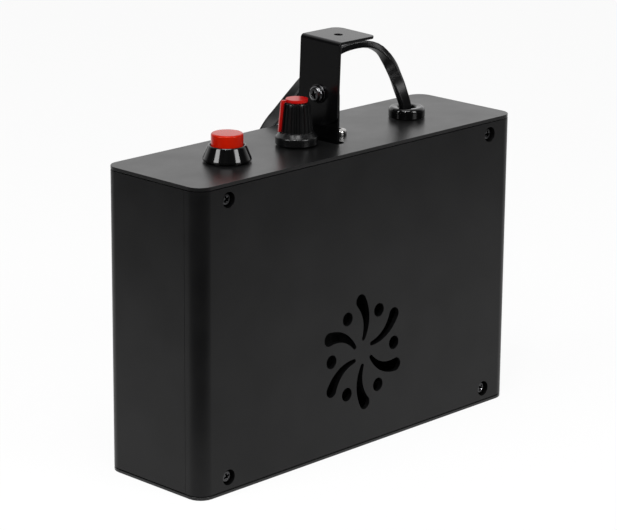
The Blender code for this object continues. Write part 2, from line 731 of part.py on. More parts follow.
def make_tube(finishes):
    """The xenon tube on the trough's centre line, in two ceramic holders."""
    floor_y = reflector_curve(0)[0]
    axis_y = floor_y + TUBE_FROM_REFLECTOR
    centre = (0, axis_y, TOP / 2)
    half = TUBE_LENGTH / 2
    round_end = 0.3 * TUBE_RADIUS
    tube = [
        (0, -half), (TUBE_RADIUS - round_end, -half), (TUBE_RADIUS, -half + round_end),
        (TUBE_RADIUS, half - round_end), (TUBE_RADIUS - round_end, half), (0, half),
    ]
    turned("flash_tube", tube, centre, finishes["clear"], "X", 20)
    band = [
        (TUBE_RADIUS + GAP, -BAND_WIDTH / 2), (TUBE_RADIUS + GAP + BAND_THICKNESS, -BAND_WIDTH / 2),
        (TUBE_RADIUS + GAP + BAND_THICKNESS, BAND_WIDTH / 2), (TUBE_RADIUS + GAP, BAND_WIDTH / 2),
    ]
    turned("trigger_band", band, centre, finishes["bright_screw"], "X", 20, True)
    base_y = reflector_curve(HOLDER_WIDTH / REFLECTOR_HEIGHT)[0] + GAP
    bore_radius = CAP_RADIUS + GAP
    tip_y = axis_y + bore_radius + HOLDER_WALL
    for number, side in enumerate((-1, 1), 1):
        inner = half + GAP
        outer = inner + CAP_LENGTH
        cap = [
            (0, side * inner), (CAP_RADIUS, side * inner), (CAP_RADIUS, side * (outer - round_end)),
            (CAP_RADIUS - round_end, side * outer), (0, side * outer),
        ]
        turned(f"tube_cap_{number}", cap, centre, finishes["bright_screw"], "X", 20)
        middle = side * (inner + outer) / 2
        width = max(HOLDER_WIDTH, 2 * (bore_radius + HOLDER_WALL))
        outline = [
            (base_y, TOP / 2 - HOLDER_WIDTH / 2),
            (axis_y, TOP / 2 - width / 2),
            (tip_y, TOP / 2 - width / 4),
            (tip_y, TOP / 2 + width / 4),
            (axis_y, TOP / 2 + width / 2),
            (base_y, TOP / 2 + HOLDER_WIDTH / 2),
        ]
        ends = (middle - HOLDER_THICKNESS / 2, middle + HOLDER_THICKNESS / 2)
        holder = prism(f"tube_holder_{number}", outline, ends[0], ends[1], finishes["ceramic"], "X")
        bore = rod(f"tool_holder_bore_{number}", centre, bore_radius, ends[0] - PAST, ends[1] + PAST, None, "X")
        combine(holder, "DIFFERENCE", bore)


def make_board(finishes):
    """The board on the front shell's posts, with its parts on the side that faces the vent."""
    rear = REAR + BOARD_FROM_REAR
    front = board_front()
    outline = rectangle(0, BOARD_CENTRE_HEIGHT, BOARD_LENGTH, BOARD_HEIGHT)
    board = prism("circuit_board", outline, rear, front, finishes["board"], "Y")
    for number, (x, z) in enumerate(board_post_places(), 1):
        hole = rod(f"tool_board_hole_{number}", (x, 0, z), SCREW_RADIUS + GAP, rear - PAST, front + PAST, None, "Y")
        combine(board, "DIFFERENCE", hole)
        length = BOARD_THICKNESS + BOARD_SCREW_LENGTH - PAST
        pan_screw(
            f"board_screw_{number}", (x, rear - GAP, z), BOARD_SCREW_HEAD_RADIUS, BOARD_SCREW_HEAD, length,
            finishes["bright_screw"], "Y", -1
        )
    seat = rear - GAP
    for number, side in enumerate((-1, 1), 1):
        height = BOARD_CENTRE_HEIGHT - BOARD_HEIGHT / 4 + side * CAPACITOR_PITCH / 2
        can(f"storage_capacitor_{number}", (CAPACITOR_X, seat - CAPACITOR_RADIUS, height), CAPACITOR_RADIUS,
            CAPACITOR_LENGTH, finishes["gloss"])
    bobbin(seat, finishes)
    size = RESISTOR_SIZE
    block("ballast_resistor", (RESISTOR_X, seat - size[1] / 2, RESISTOR_HEIGHT), size, finishes["ceramic"])
    size = THYRISTOR_SIZE
    block("thyristor", (THYRISTOR_X, seat - size[1] / 2, THYRISTOR_HEIGHT), size, finishes["gloss"])
    can("fuse", (FUSE_X, seat - FUSE_RADIUS, FUSE_HEIGHT), FUSE_RADIUS, FUSE_LENGTH, finishes["clear"])


def can(name, centre, radius, length, material):
    """A round part that lies along X, with a rolled edge at each end."""
    half = length / 2
    edge = 0.12 * radius
    profile = [
        (0, -half), (radius - edge, -half), (radius, -half + edge),
        (radius, half - edge), (radius - edge, half), (0, half),
    ]
    turned(name, profile, centre, material, "X", 20)


def bobbin(seat, finishes):
    """The trigger coil: a winding between two cheeks, standing across the board."""
    half = TRIGGER_COIL_LENGTH / 2
    radius = TRIGGER_COIL_RADIUS
    cheek = 0.12 * TRIGGER_COIL_LENGTH
    core = 0.80 * radius
    profile = [
        (0, -half), (radius, -half), (radius, -half + cheek), (core, -half + cheek),
        (core, half - cheek), (radius, half - cheek), (radius, half), (0, half),
    ]
    centre = (TRIGGER_COIL_X, seat - radius, BOARD_CENTRE_HEIGHT)
    turned("trigger_coil", profile, centre, finishes["winding"], "Z", 20)


def make_button(finishes):
    """A sprung push button in a conical bezel, clamped to the plate by a nut underneath."""
    centre = (BUTTON_X, BUTTON_Y, 0)
    base = TOP + GAP
    rim = TOP + BEZEL_HEIGHT
    bore_radius = BUTTON_RADIUS + GAP
    barrel_end = PLATE_UNDER - BARREL_DEPTH
    floor = barrel_end + BARREL_FLOOR
    profile = [
        (0, barrel_end), (BARREL_RADIUS, barrel_end), (BARREL_RADIUS, base), (BEZEL_RADIUS - BEZEL_FOOT_EDGE, base),
        (BEZEL_RADIUS, base + BEZEL_FOOT_EDGE), (BEZEL_TOP_RADIUS, rim - GAP), (BEZEL_TOP_RADIUS - GAP, rim),
        (bore_radius, rim), (bore_radius, floor), (0, floor),
    ]
    turned("button_housing", profile, centre, finishes["gloss"], "Z", 32)
    nut_low = PLATE_UNDER - GAP - BUTTON_NUT_THICKNESS
    hex_nut("button_nut", (BUTTON_X, BUTTON_Y, nut_low), BUTTON_NUT_FLATS, BUTTON_NUT_THICKNESS,
            BARREL_RADIUS + GAP, finishes["dark_screw"])
    pivot = pivot_at("button_axis", (BUTTON_X, BUTTON_Y, rim))
    skirt = -BUTTON_SKIRT
    crown = BUTTON_PROUD - BUTTON_CROWN
    inner = BUTTON_RADIUS - BUTTON_WALL
    cap = [
        (inner, skirt), (BUTTON_RADIUS, skirt), (BUTTON_RADIUS, BUTTON_PROUD - BUTTON_EDGE),
        (BUTTON_RADIUS - 0.3 * BUTTON_EDGE, BUTTON_PROUD - 0.3 * BUTTON_EDGE),
        (BUTTON_RADIUS - BUTTON_EDGE, BUTTON_PROUD), (0, BUTTON_PROUD), (0, crown), (inner, crown),
    ]
    carry(pivot, turned("button_cap", cap, (0, 0, 0), finishes["button"], "Z", 32, True))
    coil_spring(floor + GAP, rim + crown - GAP, finishes)
    for number, side in enumerate((-1, 1), 1):
        size = TERMINAL_SIZE
        middle = barrel_end - GAP - size[2] / 2
        block(f"button_terminal_{number}", (BUTTON_X + side * TERMINAL_PITCH / 2, BUTTON_Y, middle), size,
              finishes["brass"])


def coil_spring(low, high, finishes):
    """The button's return spring, one wire from the barrel's floor to the button's crown."""
    points_per_turn = 8
    count = SPRING_TURNS * points_per_turn
    start = low + SPRING_WIRE_RADIUS
    rise = high - SPRING_WIRE_RADIUS - start
    points = []
    for step in range(count + 1):
        angle = math.tau * step / points_per_turn
        height = start + rise * step / count
        points.append(
            (BUTTON_X + SPRING_RADIUS * math.cos(angle), BUTTON_Y + SPRING_RADIUS * math.sin(angle), height)
        )
    tube("button_spring", points, SPRING_WIRE_RADIUS, finishes["bright_screw"], 1)


def make_potentiometer(finishes):
    """The control under the plate: its can, its threaded bushing through the plate and the nut on top."""
    centre = (KNOB_X, KNOB_Y, 0)
    can_top = PLATE_UNDER - GAP
    can_low = can_top - POTENTIOMETER_HEIGHT
    bushing_top = TOP + BUSHING_PROUD
    bore = SHAFT_RADIUS + FINE_GAP
    well = can_top - 0.6 * POTENTIOMETER_HEIGHT
    profile = [
        (0, can_low), (POTENTIOMETER_RADIUS, can_low), (POTENTIOMETER_RADIUS, can_top), (BUSHING_RADIUS, can_top),
        (BUSHING_RADIUS, bushing_top), (bore, bushing_top), (bore, well), (0, well),
    ]
    turned("potentiometer", profile, centre, finishes["bright_screw"], "Z", 32)
    hex_nut("potentiometer_nut", (KNOB_X, KNOB_Y, TOP + FINE_GAP), POTENTIOMETER_NUT_FLATS,
            POTENTIOMETER_NUT_THICKNESS, BUSHING_RADIUS + FINE_GAP, finishes["bright_screw"])
    return well


def fluted_ring(radius, height, depth):
    """A ring of points with flutes, left plain where the pointer runs."""
    points_per_flute = 4
    count = KNOB_FLUTES * points_per_flute
    ring = []
    for step in range(count):
        angle = math.tau * step / count
        plain = math.cos(angle) > math.cos(1.2 * math.tau / KNOB_FLUTES)
        wave = 0 if plain else 0.5 - 0.5 * math.cos(math.tau * step / points_per_flute)
        reach = radius - depth * wave
        ring.append((reach * math.cos(angle), reach * math.sin(angle), height))
    return ring


def make_knob(finishes):
    """A fluted tapered knob with a round skirt, and a red cap whose bar runs down a groove in its side."""
    well = make_potentiometer(finishes)
    base = TOP + KNOB_LIFT
    pivot = pivot_at("knob_axis", (KNOB_X, KNOB_Y, base), (0, 0, KNOB_REST_ANGLE))
    skirt = KNOB_SKIRT_HEIGHT
    foot = skirt + KNOB_BEVEL
    sections = [
        fluted_ring(KNOB_SKIRT_RADIUS, 0, 0),
        fluted_ring(KNOB_SKIRT_RADIUS, skirt, 0),
        fluted_ring(KNOB_FOOT_RADIUS, foot, KNOB_FLUTE_DEPTH),
        fluted_ring(KNOB_HEAD_RADIUS, KNOB_BODY_HEIGHT - KNOB_HEAD_EDGE, KNOB_FLUTE_DEPTH),
        fluted_ring(KNOB_HEAD_RADIUS - KNOB_HEAD_EDGE, KNOB_BODY_HEIGHT, 0),
    ]
    knob = loft("speed_knob", sections, finishes["case"])
    cavity = rod("tool_knob_cavity", (0, 0, 0), KNOB_CAVITY_RADIUS, -PAST, KNOB_CAVITY_HEIGHT, None, "Z", 32)
    shaft_top = well + GAP + SHAFT_LENGTH - base
    bore = rod("tool_knob_bore", (0, 0, 0), SHAFT_RADIUS + FINE_GAP, -PAST, shaft_top + GAP)
    groove_low = foot - GAP
    half = POINTER_WIDTH / 2
    foot_floor = KNOB_FOOT_RADIUS - POINTER_DEPTH
    head_floor = KNOB_HEAD_RADIUS - POINTER_DEPTH
    far = KNOB_SKIRT_RADIUS + PAST
    groove_outline = [
        (foot_floor, groove_low), (far, groove_low), (far, KNOB_BODY_HEIGHT + PAST),
        (head_floor, KNOB_BODY_HEIGHT + PAST), (head_floor, KNOB_BODY_HEIGHT),
    ]
    groove = y_prism("tool_pointer_groove", groove_outline, half + FINE_GAP)
    combine(knob, "DIFFERENCE", cavity, bore, groove)
    cap_low = KNOB_BODY_HEIGHT + FINE_GAP
    cap_high = cap_low + KNOB_CAP_THICKNESS
    cap_profile = [
        (0, cap_low), (KNOB_CAP_RADIUS, cap_low), (KNOB_CAP_RADIUS, cap_high - KNOB_CAP_EDGE),
        (KNOB_CAP_RADIUS - KNOB_CAP_EDGE, cap_high), (0, cap_high),
    ]
    cap = turned("knob_cap", cap_profile, (0, 0, 0), finishes["pointer"], "Z", 32)
    bar_high = cap_high - KNOB_CAP_EDGE
    bar_head = KNOB_HEAD_RADIUS + POINTER_PROUD
    bar_outline = [
        (KNOB_CAP_RADIUS - PAST, cap_low), (head_floor + FINE_GAP, cap_low),
        (foot_floor + FINE_GAP, groove_low + FINE_GAP), (KNOB_FOOT_RADIUS + POINTER_PROUD, groove_low + FINE_GAP),
        (bar_head, cap_low), (bar_head - 2 * KNOB_CAP_EDGE, bar_high), (KNOB_CAP_RADIUS - PAST, bar_high),
    ]
    bar = y_prism("tool_pointer_bar", bar_outline, half)
    combine(cap, "UNION", bar)
    shaft_low = well + GAP - base
    shaft = rod("potentiometer_shaft", (0, 0, 0), SHAFT_RADIUS, shaft_low, shaft_top, finishes["bright_screw"])
    carry(pivot, knob, cavity, bore, groove, cap, bar, shaft)


def y_prism(name, outline, half_width):
    return prism(name, outline, -half_width, half_width, None, "Y")


def make_grommet(finishes):
    """A rubber bush whose groove holds the plate's edge. Its mouth narrows to grip the cord."""
    grip = CORD_WIDTH / 2 + GAP
    top = TOP + GROMMET_HEIGHT
    low = PLATE_UNDER - GAP - GROMMET_TAIL
    edge = GROMMET_EDGE
    profile = [
        (grip, low), (GROMMET_RADIUS, low), (GROMMET_RADIUS, PLATE_UNDER - GAP),
        (GROMMET_GROOVE_RADIUS, PLATE_UNDER - GAP), (GROMMET_GROOVE_RADIUS, TOP + GAP), (GROMMET_RADIUS, TOP + GAP),
        (GROMMET_RADIUS, top - edge), (GROMMET_RADIUS - 0.3 * edge, top - 0.3 * edge), (GROMMET_RADIUS - edge, top),
        (GROMMET_MOUTH_RADIUS, top), (GROMMET_MOUTH_RADIUS, TOP), (grip, PLATE_UNDER),
    ]
    turned("grommet", profile, (GROMMET_X, GROMMET_Y, 0), finishes["rubber"], "Z", 28, True)


def make_foot_bracket(finishes):
    """The fixed sheet leg: a round-topped tongue up through the plate, on a foot bent under it."""
    near = HANGER_X + SHEET + GAP
    far = near + SHEET
    pivot_z = TOP + PIVOT_HEIGHT
    half = FOOT_WIDTH / 2
    foot_high = PLATE_UNDER - GAP
    foot_low = foot_high - SHEET
    tip = near + FOOT_FLANGE
    profile = [(near, pivot_z + half), (near, foot_low + SHEET)]
    profile += arc((near + SHEET, foot_low + SHEET), SHEET, 180, 270, 4)[1:]
    profile += [(tip, foot_low), (tip, foot_high), (far, foot_high), (far, pivot_z + half)]
    bracket = prism("foot_bracket", profile, PIVOT_Y - half, PIVOT_Y + half, finishes["sheet"], "Y")
    face = [(PIVOT_Y - half, foot_low - PAST), (PIVOT_Y + half, foot_low - PAST)]
    face += arc((PIVOT_Y, pivot_z), half, 0, 180, 16)
    reach = FOOT_FLANGE + PAST
    rounded = prism("tool_foot_round", face, near - PAST, near + reach, None, "X")
    combine(bracket, "INTERSECT", rounded)
    pivot_hole = rod("tool_foot_pivot_hole", (0, PIVOT_Y, pivot_z), SCREW_RADIUS + FINE_GAP, near - PAST, far + PAST,
                     None, "X")
    screw_hole = rod("tool_foot_hole", (FOOT_SCREW_X, PIVOT_Y, 0), SCREW_RADIUS + GAP, foot_low - PAST,
                     foot_high + PAST)
    combine(bracket, "DIFFERENCE", pivot_hole, screw_hole)
    seat = (FOOT_SCREW_X, PIVOT_Y, TOP + FINE_GAP)
    length = TOP - foot_low + GAP + NUT_THICKNESS + SCREW_RADIUS
    pan_screw("foot_screw", seat, FOOT_SCREW_HEAD_RADIUS, FOOT_SCREW_HEAD, length, finishes["bright_screw"])
    nut_low = foot_low - GAP - NUT_THICKNESS
    hex_nut("foot_nut", (FOOT_SCREW_X, PIVOT_Y, nut_low), NUT_FLATS, NUT_THICKNESS, SCREW_RADIUS + FINE_GAP,
            finishes["bright_screw"])
    make_pivot_screw(far, pivot_z, finishes)


def make_pivot_screw(sheet_far, pivot_z, finishes):
    """The screw, washer and nut that the hanger bracket turns on."""
    washer_x = HANGER_X - FINE_GAP - WASHER_THICKNESS
    centre = (washer_x, PIVOT_Y, pivot_z)
    bore = SCREW_RADIUS + FINE_GAP
    ring = [(bore, 0), (WASHER_RADIUS, 0), (WASHER_RADIUS, WASHER_THICKNESS), (bore, WASHER_THICKNESS)]
    turned("pivot_washer", ring, centre, finishes["dark_screw"], "X", 24, True)
    seat = (washer_x - FINE_GAP, PIVOT_Y, pivot_z)
    nut_x = sheet_far + FINE_GAP
    length = nut_x + NUT_THICKNESS - seat[0] + SCREW_RADIUS / 2
    pan_screw("pivot_screw", seat, PIVOT_HEAD_RADIUS, PIVOT_HEAD, length, finishes["dark_screw"], "X", -1)
    hex_nut("pivot_nut", (nut_x, PIVOT_Y, pivot_z), NUT_FLATS, NUT_THICKNESS, bore, finishes["dark_screw"], "X")


def make_hanger(finishes):
    """The swinging sheet bracket: a leg with a round lower end, bent over into a flange with a hanging hole."""
    pivot = pivot_at("hanger_pivot", (0, PIVOT_Y, TOP + PIVOT_HEIGHT), (HANGER_LEAN, 0, 0))
    near = HANGER_X
    far = HANGER_X + SHEET
    tip = HANGER_X + HANGER_FLANGE
    half = HANGER_WIDTH / 2
    bend = HANGER_BEND_RADIUS
    inner_bend = bend - SHEET
    corner = (near + bend, HANGER_REACH - bend)
    profile = [(far, -HANGER_END_RADIUS), (far, HANGER_REACH - bend)]
    profile += arc(corner, inner_bend, 180, 90, 3)[1:]
    profile += [(tip, HANGER_REACH - SHEET), (tip, HANGER_REACH)]
    profile += arc(corner, bend, 90, 180, 5)
    profile += [(near, -HANGER_END_RADIUS)]
    bracket = prism("hanger_bracket", profile, -half, half, finishes["sheet"], "Y")
    end_angle = math.degrees(math.asin(half / HANGER_END_RADIUS))
    face = arc((0, 0), HANGER_END_RADIUS, 270 - end_angle, 270 + end_angle, 12)
    face += [(half + PAST, face[-1][1]), (half + PAST, HANGER_REACH + PAST)]
    face += [(-half - PAST, HANGER_REACH + PAST), (-half - PAST, face[0][1])]
    leg_shape = prism("tool_hanger_leg", face, near - PAST, tip + PAST, None, "X")
    plain = SHEET / 2
    radii = [HANGER_CORNER_RADII[1], plain, plain, HANGER_CORNER_RADII[0]]
    plan = rounded_rectangle((near - PAST, -half), (tip, half), radii)
    flange_shape = prism("tool_hanger_flange", plan, -HANGER_END_RADIUS - PAST, HANGER_REACH + PAST)
    pivot_hole = rod("tool_hanger_pivot_hole", (0, 0, 0), SCREW_RADIUS + FINE_GAP, near - PAST, far + PAST, None, "X")
    hole_x = near + HANGER_FLANGE / 2
    hang_hole = rod("tool_hang_hole", (hole_x, 0, 0), HANGER_HOLE_RADIUS, HANGER_REACH - SHEET - PAST,
                    HANGER_REACH + PAST)
    combine(bracket, "INTERSECT", leg_shape, flange_shape)
    combine(bracket, "DIFFERENCE", pivot_hole, hang_hole)
    carry(pivot, bracket, leg_shape, flange_shape, pivot_hole, hang_hole)


def smooth_route(route, step):
    """Points a step apart on a smooth curve through the route's own points."""
    places = [Vector(point) for point in route]
    padded = [2 * places[0] - places[1], *places, 2 * places[-1] - places[-2]]
    fine = []
    for before, start, end, after in zip(padded, padded[1:], padded[2:], padded[3:]):
        for share in [index / 12 for index in range(12)]:
            bend = (
                2 * start
                + (end - before) * share
                + (2 * before - 5 * start + 4 * end - after) * share**2
                + (3 * start - before - 3 * end + after) * share**3
            )
            fine.append(bend / 2)
    fine.append(places[-1])
    lengths = [0.0]
    for first, second in zip(fine, fine[1:]):
        lengths.append(lengths[-1] + (second - first).length)
    count = max(2, round(lengths[-1] / step))
    points = []
    for index in range(count + 1):
        target = lengths[-1] * index / count
        after = next(place for place, length in enumerate(lengths) if length >= target - 1e-9)
        before = max(after - 1, 0)
        span = lengths[after] - lengths[before] or 1.0
        points.append(fine[before].lerp(fine[after], (target - lengths[before]) / span))
    return points


def tube(name, points, radius, material, resolution, half_flat=0.0):
    """One unbroken tube through points. A flat cord's section is widened by half_flat to each side."""
    curve = bpy.data.curves.new(name, "CURVE")
    curve.dimensions = "3D"
    curve.twist_mode = "MINIMUM"
    curve.bevel_depth = radius
    curve.bevel_resolution = resolution
    curve.extrude = half_flat
    curve.use_fill_caps = True
    spline = curve.splines.new("POLY")
    spline.points.add(len(points) - 1)
    for place, point in zip(points, spline.points):
        point.co = (*place, 1.0)
    curve.materials.append(material)
    item = bpy.data.objects.new(name, curve)
    bpy.context.scene.collection.objects.link(item)
    return item


def coil_points():
    """Loops that spiral in on the lower layer, climb where they turn back, and spiral out on the upper layer."""
    total = round(COIL_TURNS * COIL_POINTS_PER_TURN)
    back = COIL_TURNS / 2
    lower = COIL_LIFT + CORD_WIDTH / 2
    points = []
    for step in range(total + 1):
        turns = step / COIL_POINTS_PER_TURN
        angle = math.pi - math.tau * turns
        radius = COIL_OUTER_RADIUS - COIL_PITCH * min(turns, COIL_TURNS - turns)
        climb = min(max((turns - back) * 2 + 0.5, 0.0), 1.0)
        climb = climb * climb * (3 - 2 * climb)
        points.append(
            Vector((
                COIL_CENTRE[0] + radius * math.cos(angle),
                COIL_CENTRE[1] + radius * math.sin(angle),
                lower + COIL_RISE * climb,
            ))
        )
    return points


def print_least_gap(points):
    """Print how near the coil comes to itself, taking each point's section as an upright slot shape."""
    upright = (CORD_WIDTH - CORD_THICKNESS) / 2
    apart = COIL_POINTS_PER_TURN // 2
    least = min(
        math.hypot(
            math.hypot(first.x - second.x, first.y - second.y),
            max(abs(first.z - second.z) - 2 * upright, 0.0),
        )
        for index, first in enumerate(points)
        for second in points[index + apart:]
    )
    length = sum((second - first).length for first, second in zip(points, points[1:]))
    print(f"coil length {length:.3f} m, least gap to itself {(least - CORD_THICKNESS) * 1000:.2f} mm")


def make_cord(finishes):
    """The flat cord: its free stretch, its tied coil behind the housing, and the tail that ends in the plug."""
    half_flat = (CORD_WIDTH - CORD_THICKNESS) / 2
    free = smooth_route(CORD_ROUTE, CORD_STEP)
    tube("power_cord", free, CORD_THICKNESS / 2, finishes["rubber"], 2, half_flat)
    loops = coil_points()
    print_least_gap(loops)
    tube("cord_coil", loops, CORD_THICKNESS / 2, finishes["rubber"], 1, half_flat)
    tail = smooth_route(TAIL_ROUTE, CORD_STEP)
    tube("cord_tail", tail, CORD_THICKNESS / 2, finishes["rubber"], 2, half_flat)
    make_tie(finishes)
    make_plug(tail[-1], finishes)


def make_tie(finishes):
    """A strap round all the turns at one place of the coil."""
    inner_low = COIL_LIFT - GAP / 2
    inner_high = COIL_LIFT + COIL_RISE + CORD_WIDTH + GAP
    inner_near = COIL_OUTER_RADIUS - COIL_PITCH * COIL_TURNS / 2 - CORD_THICKNESS / 2 - GAP
    inner_far = COIL_OUTER_RADIUS + CORD_THICKNESS / 2 + GAP
    thickness = TIE_THICKNESS
    outer_low = (inner_near - thickness, inner_low - thickness)
    outer_high = (inner_far + thickness, inner_high + thickness)
    outline = rounded_rectangle(outer_low, outer_high, [TIE_CORNER] * 4, 3)
    hollow = rounded_rectangle((inner_near, inner_low), (inner_far, inner_high), [TIE_CORNER - thickness] * 4, 3)
    pivot = pivot_at("tie_place", (COIL_CENTRE[0], COIL_CENTRE[1], 0), (0, 0, TIE_ANGLE))
    tie = y_prism("cord_tie", outline, TIE_WIDTH / 2)
    tie.data.materials.append(finishes["gloss"])
    inside = y_prism("tool_tie_hollow", hollow, TIE_WIDTH / 2 + PAST)
    combine(tie, "DIFFERENCE", inside)
    carry(pivot, tie, inside)


def make_plug(cord_end, finishes):
    """A two-blade plug that lies on its flat side, its blades away from the cord.

    Its sections give the distance from the cord's end, the width and the height.
    """
    pivot = pivot_at("plug_place", (cord_end.x, cord_end.y, 0), (0, 0, PLUG_DIRECTION))
    middle = PLUG_HEIGHT / 2 + GAP
    body_end = PLUG_SECTIONS[-1][0]
    sections = []
    for along, width, height in PLUG_SECTIONS:
        radius = 0.35 * min(width, height)
        low = (-width / 2, middle - height / 2)
        high = (width / 2, middle + height / 2)
        sections.append([(along, u, v) for u, v in rounded_rectangle(low, high, [radius] * 4, 4)])
    carry(pivot, loft("plug_body", sections, finishes["rubber"]))
    for number, side in enumerate((-1, 1), 1):
        offset = side * BLADE_PITCH / 2
        start = body_end + GAP
        tip = start + BLADE_LENGTH
        half = BLADE_WIDTH / 2
        outline = [
            (start, middle - half), (tip - half / 2, middle - half), (tip, middle - half / 2),
            (tip, middle + half / 2), (tip - half / 2, middle + half), (start, middle + half),
        ]
        blade = prism(f"plug_blade_{number}", outline, offset - BLADE_THICKNESS / 2, offset + BLADE_THICKNESS / 2,
                      finishes["brass"], "Y")
        carry(pivot, blade)


def main():
    for item in list(bpy.data.objects):
        bpy.data.objects.remove(item, do_unlink=True)
    finishes = make_finishes()
    make_shells(finishes)
    make_plates(finishes)
    make_case_screws(finishes)
    make_lens(finishes)
    make_reflector(finishes)
    make_tube(finishes)
    make_board(finishes)
    make_button(finishes)
    make_knob(finishes)
    make_grommet(finishes)
    make_foot_bracket(finishes)
    make_hanger(finishes)
    make_cord(finishes)


main()
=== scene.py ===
"""Looks for a compact box strobe light: its case, controls, bracket, light window and flat cord.

Metres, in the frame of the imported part. The vented rear cover faces -Y and the light window faces +Y.
"""

import math

import bmesh
import bpy
from mathutils import Matrix, Vector


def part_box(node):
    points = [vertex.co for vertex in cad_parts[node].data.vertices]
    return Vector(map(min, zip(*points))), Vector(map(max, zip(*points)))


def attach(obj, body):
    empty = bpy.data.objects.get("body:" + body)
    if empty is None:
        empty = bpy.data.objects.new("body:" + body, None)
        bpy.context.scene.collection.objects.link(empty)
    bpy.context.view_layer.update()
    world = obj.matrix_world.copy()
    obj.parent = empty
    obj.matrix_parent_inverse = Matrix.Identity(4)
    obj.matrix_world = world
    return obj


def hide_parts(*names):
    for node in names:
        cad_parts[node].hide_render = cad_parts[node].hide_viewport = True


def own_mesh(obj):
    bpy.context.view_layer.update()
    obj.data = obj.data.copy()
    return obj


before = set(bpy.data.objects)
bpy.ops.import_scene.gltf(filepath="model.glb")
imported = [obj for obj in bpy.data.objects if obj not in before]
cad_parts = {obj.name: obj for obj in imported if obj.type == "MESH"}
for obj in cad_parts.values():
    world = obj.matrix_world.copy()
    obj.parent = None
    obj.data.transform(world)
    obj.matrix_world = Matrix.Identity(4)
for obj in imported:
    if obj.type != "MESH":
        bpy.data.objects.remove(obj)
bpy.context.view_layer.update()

# Camera, fitted to the edges of the case
CAMERA_AZIMUTH = -45.9046
CAMERA_ELEVATION = 16.4045
CAMERA_ROLL = 0.4729
CAMERA_DISTANCE = 0.960370
CAMERA_TARGET = (0.0, 0.0, 0.055)
CAMERA_AIM = (-0.0027675, 0.0076501)
CAMERA_LENS = 155.71
CAMERA_SENSOR = 36.0
CAMERA_CLIP = (0.01, 50.0)

# Small distances for modelling
PAST = 0.001
MERGE = 0.000002
NEAR = 0.00001

# Case
WALL = 0.0018
FRONT_WALL = 0.0025
CORNER_RADIUS = 0.0055
CORNER_STEPS = 12
INNER_CORNER_STEPS = 10
SEAM_FROM_REAR = 0.0072
SEAM_OVERLAP = 0.00008
PLATE_TOP = 0.1100
PLATE_LOW = 0.1088
PLATE_GAP = 0.0003
PLATE_LAP = 0.0004
COVER_EDGE = 0.00018
SHELL_EDGE = 0.0002
PLATE_EDGE = 0.0004
BOSS_RADIUS = 0.0036
COUNTERBORE_RADIUS = 0.0028
COUNTERBORE_DEPTH = 0.0030
SHANK_HOLE_RADIUS = 0.0018

# Vent
VENT_HEIGHT = 0.0356
VENT_CIRCLE_RADIUS = 0.0162
VENT_HOLE_RADIUS = 0.0025
VENT_COUNT = 6
SLOT_START = (0.00505, 87.3)
SLOT_END = (0.01935, 93.9)
SLOT_BULGE = 0.0020
SLOT_RADII = (0.0008, 0.0025)
SLOT_STATIONS = 20
SLOT_END_STEPS = 10

# Screws, with each head's radius and height, and its details as shares of those
CASE_HEAD = (0.0025, 0.0018)
PIVOT_HEAD = (0.0030, 0.0016)
FOOT_HEAD = (0.0028, 0.0019)
HEAD_ROUND = 0.48
HEAD_FULLNESS = 0.62
HEAD_FLOOR = 0.2
SHANK_RADIUS = 0.0015
WING_REACH = 0.66
WING_HALF = 0.17
WING_TAPER = (0.45, 0.6, 1)
SCREW_TURN = 20.0
CASE_SCREW_TURN = 27.0
SCREW_EDGE = 0.00005
WASHER_RADII = (0.0016, 0.0034)
WASHER_EDGE = 0.0001

# Button
BARREL_RADIUS = 0.0074
BARREL_FLOOR = 0.0040
BEZEL_RADIUS = 0.0085
BEZEL_FOOT = (0.0080, 0.0004)
BEZEL_RIM_HEIGHT = 0.0009
BEZEL_HEAD = (0.00670, 0.0003)
BEZEL_HEAD_FLAT = (0.00645, 0.00605)
BEZEL_MOUTH = (0.0059, 0.00035)
BEZEL_EDGE = 0.00012
BUTTON_RADIUS = 0.0056
BUTTON_WALL = 0.0014
BUTTON_CROWN = 0.0030
BUTTON_EDGE = 0.0007

# Speed knob
KNOB_CENTRE = (-0.0129, -0.0023)
KNOB_ANGLE = 150.0
KNOB_FLUTES = 18
KNOB_STEPS = 12 * KNOB_FLUTES
KNOB_CHAMFER = 0.0002
SKIRT_RADIUS = 0.0075
SKIRT_HEIGHT = 0.0028
SKIRT_DROP = 0.0005
SKIRT_ROUND = 0.0009
SKIRT_HOLLOW = (0.0061, 0.0026)
BODY_FOOT = SKIRT_HEIGHT + 0.0017
BODY_FOOT_RADIUS = 0.0058
BODY_HEAD_RADIUS = 0.00485
BODY_HEIGHT = 0.0148
BODY_ROUND = 0.0006
BODY_SHOULDER = 0.00015
BODY_FLARE = (0.0004, 0.00025)
BODY_STEPS = 8
BORE_RADIUS = 0.0031
BORE_ROOF = 0.0024
FLUTE_DEPTH = 0.00052
FLUTE_FREE = 0.8
FLUTE_ENDS = 0.0001
FLUTE_INSIDE = 0.0003
FLUTE_WIDTH = 0.80
FLUTE_SLOPE = 0.26
POINTER_HALF = 0.00066
POINTER_PROUD = 0.0009
POINTER_PLAY = 0.00004
POINTER_SINK = 0.0005
POINTER_REACH = 0.0050
POINTER_CLEAR = 0.0002
BAR_START = 0.0010
BAR_SINK = 0.00035
BAR_STEP = 0.0004
BAR_NOSE = 0.0005
DISC_GAP = 0.00015
DISC_HEIGHT = 0.0011
DISC_RADIUS = 0.0039
DISC_EDGE = 0.00017

